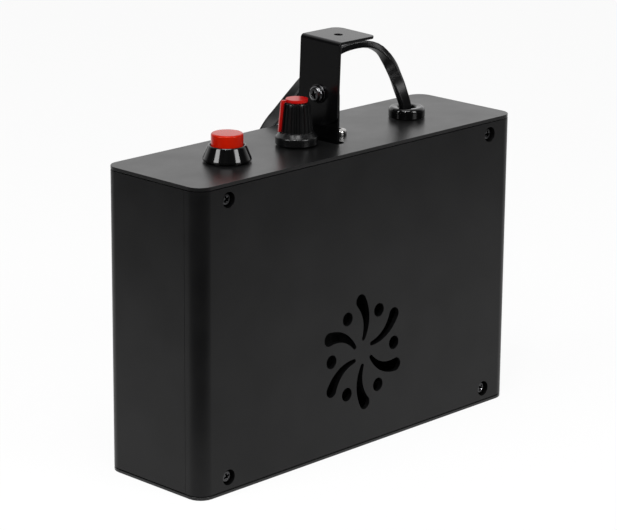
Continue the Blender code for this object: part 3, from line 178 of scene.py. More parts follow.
# Cord bush
BUSH_ROUND = 0.0014
BUSH_LIP = 0.0003
BUSH_CHAMFER = 0.0003
BUSH_LIP_CHAMFER = 0.0001
BUSH_GROOVE_RADIUS = 0.0045
BUSH_RIM = 0.0002
BUSH_BORE = (0.0026, 0.0032)
BUSH_MOUTH_RADIUS = 0.0041
BUSH_MOUTH_DROP = 0.0009
BUSH_MOUTH_ROUND = 0.0008

# Light and bracket
TUBE_END_EDGE = 0.00012
HANGER_STRETCH = (1.035, 1.055)
HANGER_SHIFT = (0.0, 0.0003, 0.0)
HANGER_EDGE = 0.00016
FOOT_EDGE = 0.00022

# Flat cord, on the route of the part's own solids, with each turn as an angle and its start and end
CORD_WIDTH = 0.0046
CORD_THICKNESS = 0.0026
CORD_CORNER = 0.00075
CORD_STEP = 0.0018
CORD_TURNS = ((-162.0, 0.008, 0.043), (-45.0, 0.060, 0.082), (27.0, 0.150, 0.200))
ROUTE_PARTS = 12
PLUG_EDGE = 0.0005
STRAP_EDGE = 0.0002
CORD_ROUTE = [
    (0.0470, 0.0000, 0.1062),
    (0.0468, 0.0000, 0.1100),
    (0.0461, 0.0000, 0.1143),
    (0.0452, 0.0017, 0.1200),
    (0.0450, 0.0041, 0.1249),
    (0.0450, 0.0068, 0.1289),
    (0.0447, 0.0099, 0.1322),
    (0.0444, 0.0126, 0.1340),
    (0.0429, 0.0160, 0.1351),
    (0.0401, 0.0194, 0.1349),
    (0.0370, 0.0220, 0.1338),
    (0.0348, 0.0234, 0.1326),
    (0.0276, 0.0256, 0.1285),
    (0.0212, 0.0264, 0.1242),
    (0.0154, 0.0268, 0.1192),
    (0.0089, 0.0270, 0.1139),
    (0.0023, 0.0270, 0.1087),
    (-0.0050, 0.0270, 0.0990),
    (-0.0120, 0.0270, 0.0840),
    (-0.0165, 0.0272, 0.0660),
    (-0.0188, 0.0278, 0.0450),
    (-0.0195, 0.0298, 0.0270),
    (-0.0196, 0.0352, 0.0125),
    (-0.0196, 0.0438, 0.0050),
    (-0.0196, 0.0530, 0.0032),
    (-0.0196, 0.0597, 0.0031),
]
COIL_CENTRE = (0.0120, 0.0600)
COIL_OUTER_RADIUS = 0.0316
COIL_TURNS = 8.25
COIL_POINTS_PER_TURN = 48
COIL_PITCH = 0.0032
COIL_RISE = 0.0051
COIL_LIFT = 0.0008
TAIL_ROUTE = [
    (0.0123, 0.0916, 0.0082),
    (0.0200, 0.0920, 0.0082),
    (0.0290, 0.0928, 0.0078),
    (0.0370, 0.0930, 0.0072),
    (0.0435, 0.0917, 0.0069),
    (0.0491, 0.0881, 0.0068),
    (0.0527, 0.0833, 0.0068),
    (0.0547, 0.0780, 0.0068),
]

# Studio
BACKDROP_DIRECTION = (0.676, 0.655, 0.338)
BACKDROP_REACH = (0.25, 0.75)
ROOM_GLOW = 0.04
ROOM_LIGHT = 0.30
FLOOR_SIZE = 30
FLOOR_TONE = 0.85
FLOOR_ROUGHNESS = 0.9
POOL_CENTRE = (0.323, 0.313, 0.0)
POOL_TURN = -45.9
POOL_SIZE = (0.42, 0.56, 1.0)
POOL_EDGE = (1.0, 1.28)
POOL_EDGE_GLOW = 0.20
FLOOR_GLOW_SHARE = 0.92
FRONT_DIRECTION = (-0.719, -0.695, 0.0)
FRONT_REACH = (0.08, 0.20)
FRONT_GLOW = 0.15

# Lamps, each with its azimuth, elevation, distance, size and power
LAMPS = (
    ("left_softbox", -99, 32, 0.9, (0.31, 0.44), 3.5),
    ("right_softbox", 8, 32, 0.9, (0.31, 0.44), 3.5),
    ("top_softbox", -52, 68, 1.1, (0.7, 0.42), 5.5),
    ("spot_lamp", -56, 44, 1.0, (0.09, 0.09), 1.6),
)


# Names, places and curves
def numbered(name, count):
    """The names of several like solids."""
    return [f"{name}_{number}" for number in range(1, count + 1)]


def middle_of(node):
    """Middle of a solid's box."""
    return [(low + high) / 2 for low, high in zip(*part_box(node))]


def heading_at(azimuth, elevation):
    """A heading away from the case. Azimuth 0 looks back from -Y and 90 from +X."""
    around = math.radians(azimuth)
    above = math.radians(elevation)
    return Vector((math.sin(around) * math.cos(above), -math.cos(around) * math.cos(above), math.sin(above)))


def rounded(centre, radius, start, end, steps):
    """Points of an arc in a profile."""
    points = []
    for step in range(steps + 1):
        angle = math.radians(start + (end - start) * step / steps)
        points.append((centre[0] + radius * math.cos(angle), centre[1] + radius * math.sin(angle)))
    return points


def smooth_step(share):
    """A share from 0 to 1, held inside those and eased at both ends."""
    share = min(max(share, 0.0), 1.0)
    return share * share * (3 - 2 * share)


# Work on one piece at a time
def only(piece):
    """Select one piece and nothing else."""
    bpy.ops.object.select_all(action="DESELECT")
    piece.select_set(True)
    bpy.context.view_layer.objects.active = piece


def open_piece(piece, kind="VERT"):
    """Start editing a piece, with all of it selected."""
    only(piece)
    bpy.ops.object.mode_set(mode="EDIT")
    bpy.ops.mesh.select_mode(type=kind)
    bpy.ops.mesh.select_all(action="SELECT")


def close_piece():
    bpy.ops.object.mode_set(mode="OBJECT")


def close_outward():
    """Turn the open piece's faces outwards and stop editing it."""
    bpy.ops.mesh.select_all(action="SELECT")
    bpy.ops.mesh.normals_make_consistent(inside=False)
    close_piece()


def pick(piece, items, test):
    """In an open piece, select the verts, edges or faces that pass a test."""
    bpy.ops.mesh.select_all(action="DESELECT")
    shape = bmesh.from_edit_mesh(piece.data)
    for item in getattr(shape, items):
        if test(item):
            item.select_set(True)
    shape.select_flush_mode()
    bmesh.update_edit_mesh(piece.data)


def place_object(name, data):
    """Put a mesh, a lamp or a camera into the scene."""
    thing = bpy.data.objects.new(name, data)
    bpy.context.scene.collection.objects.link(thing)
    return thing


def build(name, verts, edges, faces):
    """A new piece from its points and what joins them."""
    mesh = bpy.data.meshes.new(name)
    mesh.from_pydata(verts, edges, faces)
    return place_object(name, mesh)


def settle(name):
    """Name the primitive that was just added, and put its place into its mesh."""
    piece = bpy.context.active_object
    piece.name = name
    piece.data.name = name
    bpy.ops.object.transform_apply(location=True, rotation=True, scale=True)
    return piece


def add_box(name, low, high):
    """A box between its lowest and highest corner."""
    bpy.ops.object.select_all(action="DESELECT")
    middle = [(a + b) / 2 for a, b in zip(low, high)]
    size = [b - a for a, b in zip(low, high)]
    bpy.ops.mesh.primitive_cube_add(size=1, location=middle, scale=size)
    return settle(name)


def add_rod(name, centre, radius, low, high, axis, steps):
    """A round bar along the Y or Z axis through centre, from low to high on that axis."""
    bpy.ops.object.select_all(action="DESELECT")
    turn = (math.pi / 2, 0, 0) if axis == "Y" else (0, 0, 0)
    place = list(centre)
    place["XYZ".index(axis)] = (low + high) / 2
    bpy.ops.mesh.primitive_cylinder_add(
        vertices=steps, radius=radius, depth=high - low, location=place, rotation=turn
    )
    return settle(name)


def add_prism(name, outline, by):
    """A closed outline drawn out into a solid."""
    piece = build(name, outline, [], [list(range(len(outline)))])
    open_piece(piece, "FACE")
    bpy.ops.mesh.extrude_region_move(TRANSFORM_OT_translate={"value": by})
    close_outward()
    return piece


def lathe(name, profile, centre=(0, 0, 0), axis="Z", steps=64, closed=False):
    """Spin a profile of (radius, height) points about the X or Z axis through centre."""
    count = len(profile)
    edges = [(index, index + 1) for index in range(count - 1)]
    if closed:
        edges.append((count - 1, 0))
    piece = build(name, [(radius, 0, height) for radius, height in profile], edges, [])
    open_piece(piece)
    bpy.ops.mesh.spin(steps=steps, angle=math.tau, center=(0, 0, 0), axis=(0, 0, 1))
    bpy.ops.mesh.select_all(action="SELECT")
    bpy.ops.mesh.remove_doubles(threshold=MERGE)
    close_outward()
    turn = Matrix.Rotation(math.pi / 2, 4, "Y") if axis == "X" else Matrix()
    piece.data.transform(Matrix.Translation(centre) @ turn)
    return piece


def apply_modifier(piece, kind, **settings):
    """Add a modifier to a piece and apply it."""
    modifier = piece.modifiers.new(kind.lower(), kind)
    for name, value in settings.items():
        setattr(modifier, name, value)
    only(piece)
    bpy.ops.object.modifier_apply(modifier=modifier.name)
    return piece


def combine(piece, operation, *tools):
    """Join or cut helper solids, and take them away afterwards."""
    for tool in tools:
        apply_modifier(piece, "BOOLEAN", operation=operation, solver="EXACT", object=tool)
        bpy.data.objects.remove(tool)
    return piece


def smooth(piece, angle):
    """Shade round faces smooth and keep flat faces flat."""
    only(piece)
    bpy.ops.object.shade_smooth_by_angle(angle=math.radians(angle))
    return apply_modifier(piece, "WEIGHTED_NORMAL", keep_sharp=True, weight=50)


def soften(piece, width, segments, angle=30, shade=50):
    """Round a piece's sharp edges, as moulding or deburring leaves them."""
    apply_modifier(
        piece, "BEVEL", width=width, segments=segments, limit_method="ANGLE", angle_limit=math.radians(angle)
    )
    return smooth(piece, shade)


def upright(edge):
    return abs((edge.verts[0].co - edge.verts[1].co).normalized().z) > 0.999


def round_corners(piece, radius, segments):
    """Round the upright edges of a box."""
    open_piece(piece, "EDGE")
    pick(piece, "edges", upright)
    bpy.ops.mesh.bevel(offset=radius, segments=segments, affect="EDGES")
    close_piece()
    return piece


def fit(piece, look, slot, *nodes, body="root"):
    """Give a finished piece its finish and its body, and hide the solids that it stands for."""
    piece.data.materials.clear()
    piece.data.materials.append(finish[look])
    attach(piece, body)
    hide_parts(*nodes)


def copy_solid(name, node):
    """A merged copy of the part's own solid."""
    piece = place_object(name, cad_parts[node].data.copy())
    open_piece(piece)
    bpy.ops.mesh.customdata_custom_splitnormals_clear()
    bpy.ops.mesh.remove_doubles(threshold=MERGE)
    bpy.ops.mesh.dissolve_limited(angle_limit=math.radians(0.5))
    close_piece()
    return piece


def from_solid(name, node, width, segments=2):
    """A merged copy of the part's own solid with its edges rounded."""
    return soften(copy_solid(name, node), width, segments)


# Finishes
TONE_SPAN = (0.35, 0.65)
GLOSS_SPAN = (0.3, 0.7)
CLOUD_SIZE = 0.02
GLOSS_CLOUD_SIZE = 0.012
GLOSS_SWING = (0.92, 1.1)
METAL_SHADE = 0.86
METAL_CLOUD_SIZE = 0.004
METAL_STREAK_SIZE = 0.0008
METAL_GLOSS_SWING = (0.8, 1.3)
METAL_GRAIN_SIZE = 0.0003
METAL_GRAIN_DEPTH = 0.000004
GLASS_RIPPLE_DEPTH = 0.00001
RED_GLOSS = (1.0, 0.30, 0.18, 1.0)
TRACK_SIZE = 0.004
TRACK_SPAN = (0.04, 0.09)
TRACK_DEPTH = 0.00003
# The winding's dark tone is painted shade, laid down in the grooves between turns
WIRE_SIZE = 0.0004
WIRE_SHADE_SPAN = (0.1, 0.7)
WIRE_DEPTH = 0.00008


def add_node(owner, kind):
    """A new node for a material or the world."""
    return owner.node_tree.nodes.new("ShaderNode" + kind)


def join(owner, source, target):
    owner.node_tree.links.new(source, target)


def set_inputs(node, values):
    """Set a node's own inputs by their names."""
    for name, value in values.items():
        node.inputs[name].default_value = value


def remap(owner, value, span, results, kind="SMOOTHSTEP"):
    """A change between two results while a value goes through a span."""
    reach = add_node(owner, "MapRange")
    reach.interpolation_type = kind
    set_inputs(reach, {"From Min": span[0], "From Max": span[1], "To Min": results[0], "To Max": results[1]})
    join(owner, value, reach.inputs["Value"])
    return reach.outputs["Result"]


def shader_of(material):
    return material.node_tree.nodes["Principled BSDF"]


def material_of(name, colour, roughness, metallic=0.0, specular=0.5):
    """A plain material with one colour."""
    material = bpy.data.materials.new(name)
    material.use_nodes = True
    set_inputs(shader_of(material), {
        "Base Color": (*colour, 1.0), "Roughness": roughness, "Metallic": metallic, "Specular IOR Level": specular,
    })
    return material


def blend(material, factor, shader):
    """Mix another shader over the material's own."""
    mix = add_node(material, "MixShader")
    join(material, factor, mix.inputs["Fac"])
    join(material, shader_of(material).outputs["BSDF"], mix.inputs[1])
    join(material, shader, mix.inputs[2])
    join(material, mix.outputs["Shader"], material.node_tree.nodes["Material Output"].inputs["Surface"])


def lay_texture(material, kind, size, stretch=(1, 1, 1)):
    """A texture fixed to the piece, with its features about size metres across."""
    mapping = add_node(material, "Mapping")
    texture = add_node(material, kind)
    set_inputs(mapping, {"Scale": [1 / (size * share) for share in stretch]})
    set_inputs(texture, {"Scale": 1.0})
    join(material, add_node(material, "TexCoord").outputs["Object"], mapping.inputs["Vector"])
    join(material, mapping.outputs["Vector"], texture.inputs["Vector"])
    return texture


def speckle(material, size, detail, stretch=(1, 1, 1)):
    """Noise whose spots are about size metres across."""
    texture = lay_texture(material, "TexNoise", size, stretch)
    set_inputs(texture, {"Detail": detail})
    return texture


def output_of(texture):
    return texture.outputs.get("Fac") or texture.outputs["Distance"]


def tint(material, texture, dark, light, span=TONE_SPAN):
    """Vary the colour between two tones along a texture."""
    ramp = add_node(material, "ValToRGB")
    for element, position, tone in zip(ramp.color_ramp.elements, span, (dark, light)):
        element.position = position
        element.color = (*tone, 1)
    join(material, output_of(texture), ramp.inputs["Fac"])
    join(material, ramp.outputs["Color"], shader_of(material).inputs["Base Color"])


def vary_gloss(material, texture, roughness, swing):
    """Vary the roughness between two shares of its value along a texture."""
    gloss = remap(material, output_of(texture), GLOSS_SPAN, [roughness * share for share in swing], "LINEAR")
    join(material, gloss, shader_of(material).inputs["Roughness"])


def emboss(material, texture, depth):
    """Raise a texture by a depth in metres."""
    bump = add_node(material, "Bump")
    set_inputs(bump, {"Distance": depth, "Strength": 1.0})
    join(material, output_of(texture), bump.inputs["Height"])
    join(material, bump.outputs["Normal"], shader_of(material).inputs["Normal"])


def moulded(name, dark, light, roughness, specular, grain, depth):
    """Plastic or paint: two close tones in soft clouds, uneven gloss and a fine grain."""
    material = material_of(name, light, roughness, specular=specular)
    tint(material, speckle(material, CLOUD_SIZE, 4.0), dark, light)
    vary_gloss(material, speckle(material, GLOSS_CLOUD_SIZE, 5.0), roughness, GLOSS_SWING)
    emboss(material, speckle(material, grain, 2.0), depth)
    return material


def make_metal(name, colour, roughness, brush=(1, 1, 1)):
    """Bare or plated metal with a fine brushed or turned surface."""
    material = material_of(name, colour, roughness, metallic=1.0)
    shade = tuple(channel * METAL_SHADE for channel in colour)
    tint(material, speckle(material, METAL_CLOUD_SIZE, 4.0), shade, colour)
    vary_gloss(material, speckle(material, METAL_STREAK_SIZE, 4.0, brush), roughness, METAL_GLOSS_SWING)
    emboss(material, speckle(material, METAL_GRAIN_SIZE, 2.0, brush), METAL_GRAIN_DEPTH)
    return material


def make_glass(name, tone, roughness, ior, ripple):
    """Clear plastic or glass with a faint ripple, which doesn't shade what is behind it."""
    material = material_of(name, tone, roughness)
    set_inputs(shader_of(material), {"Transmission Weight": 1.0, "IOR": ior})
    emboss(material, speckle(material, ripple, 1.0), GLASS_RIPPLE_DEPTH)
    shadow = add_node(material, "LightPath").outputs["Is Shadow Ray"]
    blend(material, shadow, add_node(material, "BsdfTransparent").outputs["BSDF"])
    return material


def make_board_finish():
    """Black board with slightly paler copper tracks under the lacquer."""
    material = material_of("board_lacquer", (0.004, 0.004, 0.004), 0.40, specular=0.05)
    tracks = lay_texture(material, "TexVoronoi", TRACK_SIZE)
    tracks.feature = "DISTANCE_TO_EDGE"
    tint(material, tracks, (0.0065, 0.0068, 0.0065), (0.0030, 0.0032, 0.0030), TRACK_SPAN)
    emboss(material, tracks, TRACK_DEPTH)
    return material


def make_winding_finish():
    """Enamelled wire laid in close turns, with painted shade darkening the groove between each turn."""
    material = material_of("copper_winding", (0.60, 0.28, 0.10), 0.3, metallic=0.8)
    turns = lay_texture(material, "TexWave", WIRE_SIZE)
    turns.bands_direction = "Z"
    tint(material, turns, (0.30, 0.11, 0.03), (0.68, 0.34, 0.13), WIRE_SHADE_SPAN)
    emboss(material, turns, WIRE_DEPTH)
    return material


finish = {
    "case": moulded(
        "satin_black_case", (0.0018, 0.0018, 0.0020), (0.0038, 0.0038, 0.0040),
        roughness=0.36, specular=0.20, grain=0.00038, depth=0.000034,
    ),
    "plate": moulded(
        "satin_black_plate", (0.0034, 0.0034, 0.0036), (0.0048, 0.0048, 0.0050),
        roughness=0.30, specular=0.35, grain=0.00040, depth=0.000006,
    ),
    "sheet": moulded(
        "black_painted_sheet", (0.0018, 0.0018, 0.0020), (0.0020, 0.0020, 0.0022),
        roughness=0.17, specular=0.25, grain=0.0009, depth=0.000003,
    ),
    "gloss": moulded(
        "gloss_black", (0.0012, 0.0012, 0.0013), (0.0018, 0.0018, 0.0019),
        roughness=0.09, specular=0.50, grain=0.0030, depth=0.000002,
    ),
    "bush": moulded(
        "gloss_black_bush", (0.0012, 0.0012, 0.0013), (0.0018, 0.0018, 0.0019),
        roughness=0.09, specular=0.50, grain=0.0020, depth=0.000003,
    ),
    "knob": moulded(
        "satin_black_knob", (0.0016, 0.0016, 0.0018), (0.0026, 0.0026, 0.0028),
        roughness=0.26, specular=0.40, grain=0.00025, depth=0.000003,
    ),
    "button": moulded(
        "orange_red_button", (0.36, 0.0060, 0.0005), (0.44, 0.0095, 0.0010),
        roughness=0.15, specular=0.42, grain=0.0006, depth=0.000001,
    ),
    "crimson": moulded(
        "crimson_cap", (0.30, 0.0022, 0.0025), (0.38, 0.0040, 0.0040),
        roughness=0.30, specular=0.42, grain=0.0010, depth=0.000001,
    ),
    "jacket": moulded(
        "black_cord_jacket", (0.0018, 0.0018, 0.0020), (0.0028, 0.0028, 0.0030),
        roughness=0.30, specular=0.22, grain=0.0005, depth=0.000002,
    ),
    "plug": moulded(
        "black_plug", (0.005, 0.005, 0.0053), (0.008, 0.008, 0.0083),
        roughness=0.36, specular=0.30, grain=0.0004, depth=0.000008,
    ),
    "ceramic": moulded(
        "white_ceramic", (0.66, 0.64, 0.58), (0.80, 0.78, 0.73),
        roughness=0.55, specular=0.40, grain=0.0003, depth=0.000020,
    ),
    "sleeve": moulded(
        "black_sleeve", (0.010, 0.010, 0.012), (0.016, 0.016, 0.019),
        roughness=0.25, specular=0.50, grain=0.0012, depth=0.000006,
    ),
    "dark_screw": make_metal("blackened_steel", (0.16, 0.16, 0.165), 0.17),
    "black_screw": make_metal("black_steel", (0.060, 0.060, 0.062), 0.16),
    "bright": make_metal("bright_nickel", (0.54, 0.53, 0.52), 0.13),
    "brass": make_metal("plated_brass", (0.74, 0.57, 0.27), 0.20, brush=(6, 1, 1)),
    "mirror": make_metal("polished_reflector", (0.86, 0.87, 0.88), 0.10, brush=(1, 1, 8)),
    "lens": make_glass("clear_lens", (0.97, 0.985, 0.99), roughness=0.03, ior=1.49, ripple=0.006),
    "tube": make_glass("tube_glass", (0.99, 0.99, 1.0), roughness=0.01, ior=1.46, ripple=0.004),
    "board": make_board_finish(),
    "winding": make_winding_finish(),
}
for red in ("button", "crimson"):
    set_inputs(shader_of(finish[red]), {"Specular Tint": RED_GLOSS})

SOLID_FINISHES = {
    "case": ["front_shell", "rear_cover"],
    "plate": ["top_plate", "bottom_plate"],
    "black_screw": numbered("rear_screw", 4),
    "dark_screw": ["button_nut", "pivot_screw", "pivot_washer", "pivot_nut"],
    "bright": [
        "trigger_band", *numbered("tube_cap", 2), *numbered("board_screw", 4), "button_spring", "potentiometer",
        "potentiometer_nut", "potentiometer_shaft", "foot_screw", "foot_nut",
    ],
    "lens": ["front_lens"],
    "tube": ["flash_tube", "fuse"],
    "mirror": ["reflector"],
    "ceramic": [*numbered("tube_holder", 2), "ballast_resistor"],
    "board": ["circuit_board"],
    "sleeve": [*numbered("storage_capacitor", 2), "thyristor", "cord_tie"],
    "winding": ["trigger_coil"],
    "gloss": ["button_housing"],
    "button": ["button_cap"],
    "brass": numbered("button_terminal", 2) + numbered("plug_blade", 2),
    "knob": ["speed_knob"],
    "crimson": ["knob_cap"],
    "bush": ["grommet"],
    "sheet": ["foot_bracket", "hanger_bracket"],
    "jacket": ["power_cord", "cord_coil", "cord_tail"],
    "plug": ["plug_body"],
}


def dress_solids():
    """Give every solid of the part its material."""
    for name, nodes in SOLID_FINISHES.items():
        for node in nodes:
            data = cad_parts[node].data
            data.materials.clear()
            data.materials.append(finish[name])


# Making the case
def inner_tool(low, high):
    """The hollow of the case, as a cutting solid."""
    inside_low = (low.x + WALL, low.y + WALL, low.z - PAST)
    inside_high = (high.x - WALL, high.y - FRONT_WALL, high.z + PAST)
    inside = add_box("tool_inside", inside_low, inside_high)
    return round_corners(inside, CORNER_RADIUS - WALL, INNER_CORNER_STEPS)


def case_box():
    """Lowest and highest corner of the two shells together."""
    cover_low, cover_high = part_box("rear_cover")
    shell_low, shell_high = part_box("front_shell")
    low = Vector((shell_low.x, cover_low.y, shell_low.z))
    return low, Vector((shell_high.x, shell_high.y, cover_high.z))


def round_end(start, end):
    """The inner points of a half circle that runs anticlockwise from start to end."""
    middle = (start + end) / 2
    arm = start - middle
    points = []
    for step in range(1, SLOT_END_STEPS):
        points.append(middle + Matrix.Rotation(math.pi * step / SLOT_END_STEPS, 2) @ arm)
    return points


def comma_outline(turn, depth):
    """A curved slot that widens outwards, turned about the middle of the vent, at one depth."""
    ends = []
    for reach, angle in (SLOT_START, SLOT_END):
        ends.append(reach * Vector((math.cos(math.radians(angle)), math.sin(math.radians(angle)))))
    chord = ends[1] - ends[0]
    side = Vector((chord.y, -chord.x)).normalized()
    right = []
    left = []
    for step in range(SLOT_STATIONS + 1):
        share = step / SLOT_STATIONS
        heading = (chord + side * 4 * SLOT_BULGE * (1 - 2 * share)).normalized()
        point = ends[0] + chord * share + side * 4 * SLOT_BULGE * share * (1 - share)
        across = Vector((heading.y, -heading.x)) * (SLOT_RADII[0] + (SLOT_RADII[1] - SLOT_RADII[0]) * share)
        right.append(point + across)
        left.append(point - across)
    outline = right + round_end(right[-1], left[-1]) + left[::-1] + round_end(left[0], right[0])
    spin = Matrix.Rotation(math.radians(turn), 2)
    turned = [spin @ point for point in outline]
    return [(point.x, depth, VENT_HEIGHT + point.y) for point in turned]


def case_screw_places():
    """Middle of each case screw at its outer end, from the part's own solids."""
    places = []
    for node in numbered("rear_screw", 4):
        x, _, z = middle_of(node)
        places.append((x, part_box(node)[0].y, z))
    return places


def model_rear_cover():
    """The shallow rear shell with its counterbored bosses, six round holes and six comma slots."""
    low, high = case_box()
    rear = low.y
    seam = rear + SEAM_FROM_REAR + SEAM_OVERLAP
    cover = round_corners(add_box("rear_shell", low, high), CORNER_RADIUS, CORNER_STEPS)
    ahead_low = (low.x - PAST, seam, low.z - PAST)
    ahead = add_box("tool_ahead", ahead_low, (high.x + PAST, high.y + PAST, high.z + PAST))
    combine(cover, "DIFFERENCE", inner_tool(low, high), ahead)
    for x, _, z in case_screw_places():
        centre = (x, 0, z)
        combine(cover, "UNION", add_rod("tool_boss", centre, BOSS_RADIUS, rear + WALL / 2, seam, "Y", steps=40))
        bore_end = rear + COUNTERBORE_DEPTH
        combine(
            cover,
            "DIFFERENCE",
            add_rod("tool_bore", centre, COUNTERBORE_RADIUS, rear - PAST, bore_end, "Y", steps=48),
            add_rod("tool_shank", centre, SHANK_HOLE_RADIUS, rear - PAST, seam + PAST, "Y", steps=32),
        )
    for index in range(VENT_COUNT):
        turn = 360 * index / VENT_COUNT
        angle = math.radians(turn)
        centre = (VENT_CIRCLE_RADIUS * math.cos(angle), 0, VENT_HEIGHT + VENT_CIRCLE_RADIUS * math.sin(angle))
        hole = add_rod("tool_hole", centre, VENT_HOLE_RADIUS, rear - PAST, rear + WALL + PAST, "Y", steps=40)
        slot = add_prism("tool_slot", comma_outline(turn, rear - PAST), (0, WALL + 2 * PAST, 0))
        combine(cover, "DIFFERENCE", hole, slot)
    soften(cover, COVER_EDGE, 2)
    fit(cover, "case", "case_plastic", "rear_cover")


def model_case():
    """The two shells, and the plates that close them above and below."""
    model_rear_cover()
    shell = from_solid("front_case", "front_shell", SHELL_EDGE)
    fit(shell, "case", "case_plastic", "front_shell")
    for name, node, inner, lap in (
        ("upper_plate", "top_plate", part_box("top_plate")[0].z, -PLATE_LAP),
        ("lower_plate", "bottom_plate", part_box("bottom_plate")[1].z, PLATE_LAP),
    ):
        plate = copy_solid(name, node)
        open_piece(plate)
        pick(plate, "verts", lambda vert: abs(vert.co.z - inner) < NEAR)
        bpy.ops.transform.translate(value=(0, 0, lap))
        close_piece()
        soften(plate, PLATE_EDGE, 4)
        fit(plate, "plate", "plate_plastic", node)


# Making the screws
def cross_tool(radius, height):
    """One tapered wing of the driver that cuts a cross recess."""
    low = (-WING_REACH * radius, -WING_HALF * radius, HEAD_FLOOR * height)
    wing = add_box("tool_wing", low, (WING_REACH * radius, WING_HALF * radius, height + PAST))
    open_piece(wing, "FACE")
    pick(wing, "faces", lambda face: face.normal.z < -0.9)
    bpy.ops.transform.resize(value=WING_TAPER)
    close_piece()
    return wing


def pan_screw(name, seat, outward, head, length):
    """A pan-head screw with a domed head and a cross recess. Its head stands outward from the seat."""
    radius, height = head
    screw = add_rod(name, (0, 0, 0), radius, 0, height, "Z", steps=48)
    open_piece(screw, "FACE")
    pick(screw, "faces", lambda face: face.normal.z > 0.9)
    bpy.ops.mesh.bevel(offset=HEAD_ROUND * radius, segments=6, profile=HEAD_FULLNESS, affect="EDGES")
    close_piece()
    shank = add_rod("tool_shank", (0, 0, 0), SHANK_RADIUS, -length, HEAD_FLOOR * height, "Z", steps=32)
    combine(screw, "UNION", shank)
    for turn in (0, 90):
        wing = cross_tool(radius, height)
        wing.data.transform(Matrix.Rotation(math.radians(turn), 4, "Z"))
        combine(screw, "DIFFERENCE", wing)
    soften(screw, SCREW_EDGE, 2, 28, 40)
    aim = Vector(outward).to_track_quat("Z", "Y").to_matrix().to_4x4()
    twist = Matrix.Rotation(math.radians(SCREW_TURN), 4, "Z")
    screw.data.transform(Matrix.Translation(seat) @ aim @ twist)
    return screw


def model_case_screws():
    """Four equal screws in the rear cover, each turned by another angle."""
    places = [Vector(place) for place in case_screw_places()]
    low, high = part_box("rear_screw_1")
    height = CASE_HEAD[1]
    seat = places[0] + Vector((0, height, 0))
    first = pan_screw("case_screw_1", seat, (0, -1, 0), CASE_HEAD, high.y - low.y - height)
    for number, place in enumerate(places, 1):
        screw = first
        if number > 1:
            screw = place_object(f"case_screw_{number}", first.data.copy())
            turn = Matrix.Rotation(math.radians(CASE_SCREW_TURN * number), 4, "Y")
            screw.data.transform(Matrix.Translation(place) @ turn @ Matrix.Translation(-places[0]))
        fit(screw, "black_screw", "dark_steel", f"rear_screw_{number}")


def model_screws():
    """The case screws, the hanger's pivot screw with its washer, and the screw in the bracket's foot."""
    model_case_screws()
    low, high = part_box("pivot_screw")
    _, y, z = middle_of("pivot_screw")
    height = PIVOT_HEAD[1]
    seat = (low.x + height, y, z)
    screw = pan_screw("hanger_screw", seat, (-1, 0, 0), PIVOT_HEAD, high.x - low.x - height)
    fit(screw, "dark_screw", "dark_steel", "pivot_screw")
    low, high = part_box("pivot_washer")
    inner, outer = WASHER_RADII
    profile = [(inner, low.x), (outer, low.x), (outer, high.x), (inner, high.x)]
    washer = lathe("hanger_washer", profile, (0, y, z), "X", closed=True)
    soften(washer, WASHER_EDGE, 2)
    fit(washer, "dark_screw", "dark_steel", "pivot_washer")
    low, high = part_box("foot_screw")
    x, y, _ = middle_of("foot_screw")
    height = FOOT_HEAD[1]
    seat = (x, y, high.z - height)
    screw = pan_screw("plate_screw", seat, (0, 0, 1), FOOT_HEAD, high.z - low.z - height)
    fit(screw, "bright", "nickel", "foot_screw")


# Making the button
def model_bezel(x, y):
    """The conical bezel on its threaded barrel."""
    low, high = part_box("button_housing")
    seat = PLATE_TOP + PLATE_GAP
    floor = low.z + BARREL_FLOOR
    profile = [
        (0, low.z), (BARREL_RADIUS, low.z), (BARREL_RADIUS, seat), (BEZEL_FOOT[0], seat),
        (BEZEL_RADIUS, seat + BEZEL_FOOT[1]), (BEZEL_RADIUS, seat + BEZEL_RIM_HEIGHT),
        (BEZEL_HEAD[0], high.z - BEZEL_HEAD[1]), (BEZEL_HEAD_FLAT[0], high.z), (BEZEL_HEAD_FLAT[1], high.z),
        (BEZEL_MOUTH[0], high.z - BEZEL_MOUTH[1]), (BEZEL_MOUTH[0], floor), (0, floor),
    ]
    bezel = lathe("button_bezel", profile, (x, y, 0), steps=96)
    soften(bezel, BEZEL_EDGE, 3, 12, 30)
    fit(bezel, "gloss", "gloss_black", "button_housing")


def model_button():
    """The bezel, the red cap that slides in it, and the spring below the cap."""
    x, y, _ = middle_of("button_housing")
    model_bezel(x, y)
    low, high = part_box("button_cap")
    inner = BUTTON_RADIUS - BUTTON_WALL
    crown = high.z - BUTTON_CROWN
    profile = [
        (0, high.z), (BUTTON_RADIUS, high.z), (BUTTON_RADIUS, low.z), (inner, low.z), (inner, crown), (0, crown),
    ]
    cap = lathe("button_top", profile, (x, y, 0), steps=96)
    open_piece(cap, "EDGE")
    pick(cap, "edges", lambda edge: all(
        vert.co.z > high.z - NEAR and math.hypot(vert.co.x - x, vert.co.y - y) > 0.9 * BUTTON_RADIUS
        for vert in edge.verts
    ))
    bpy.ops.mesh.bevel(offset=BUTTON_EDGE, segments=5, affect="EDGES")
    close_piece()
    smooth(cap, 32)
    fit(cap, "button", "orange_red", "button_cap", body="button")
    model_spring()


def model_spring():
    """The return spring inside the button, on a mesh of its own. The real spring shortens as the button goes down.
    """
    spring = smooth(copy_solid("return_spring", "button_spring"), 60)
    fit(spring, "bright", "nickel", "button_spring")
    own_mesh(spring)


# Making the speed knob
def flute_at(angle):
    """How deep the flutes are at an angle from the pointer, as a share."""
    pitch = math.tau / KNOB_FLUTES
    if math.cos(angle) > math.cos(FLUTE_FREE * pitch):
        return 0.0
    place = abs((angle / pitch + 0.5) % 1.0 - 0.5) * 2
    return max(0.0, min(1.0, (FLUTE_WIDTH - place) / FLUTE_SLOPE))


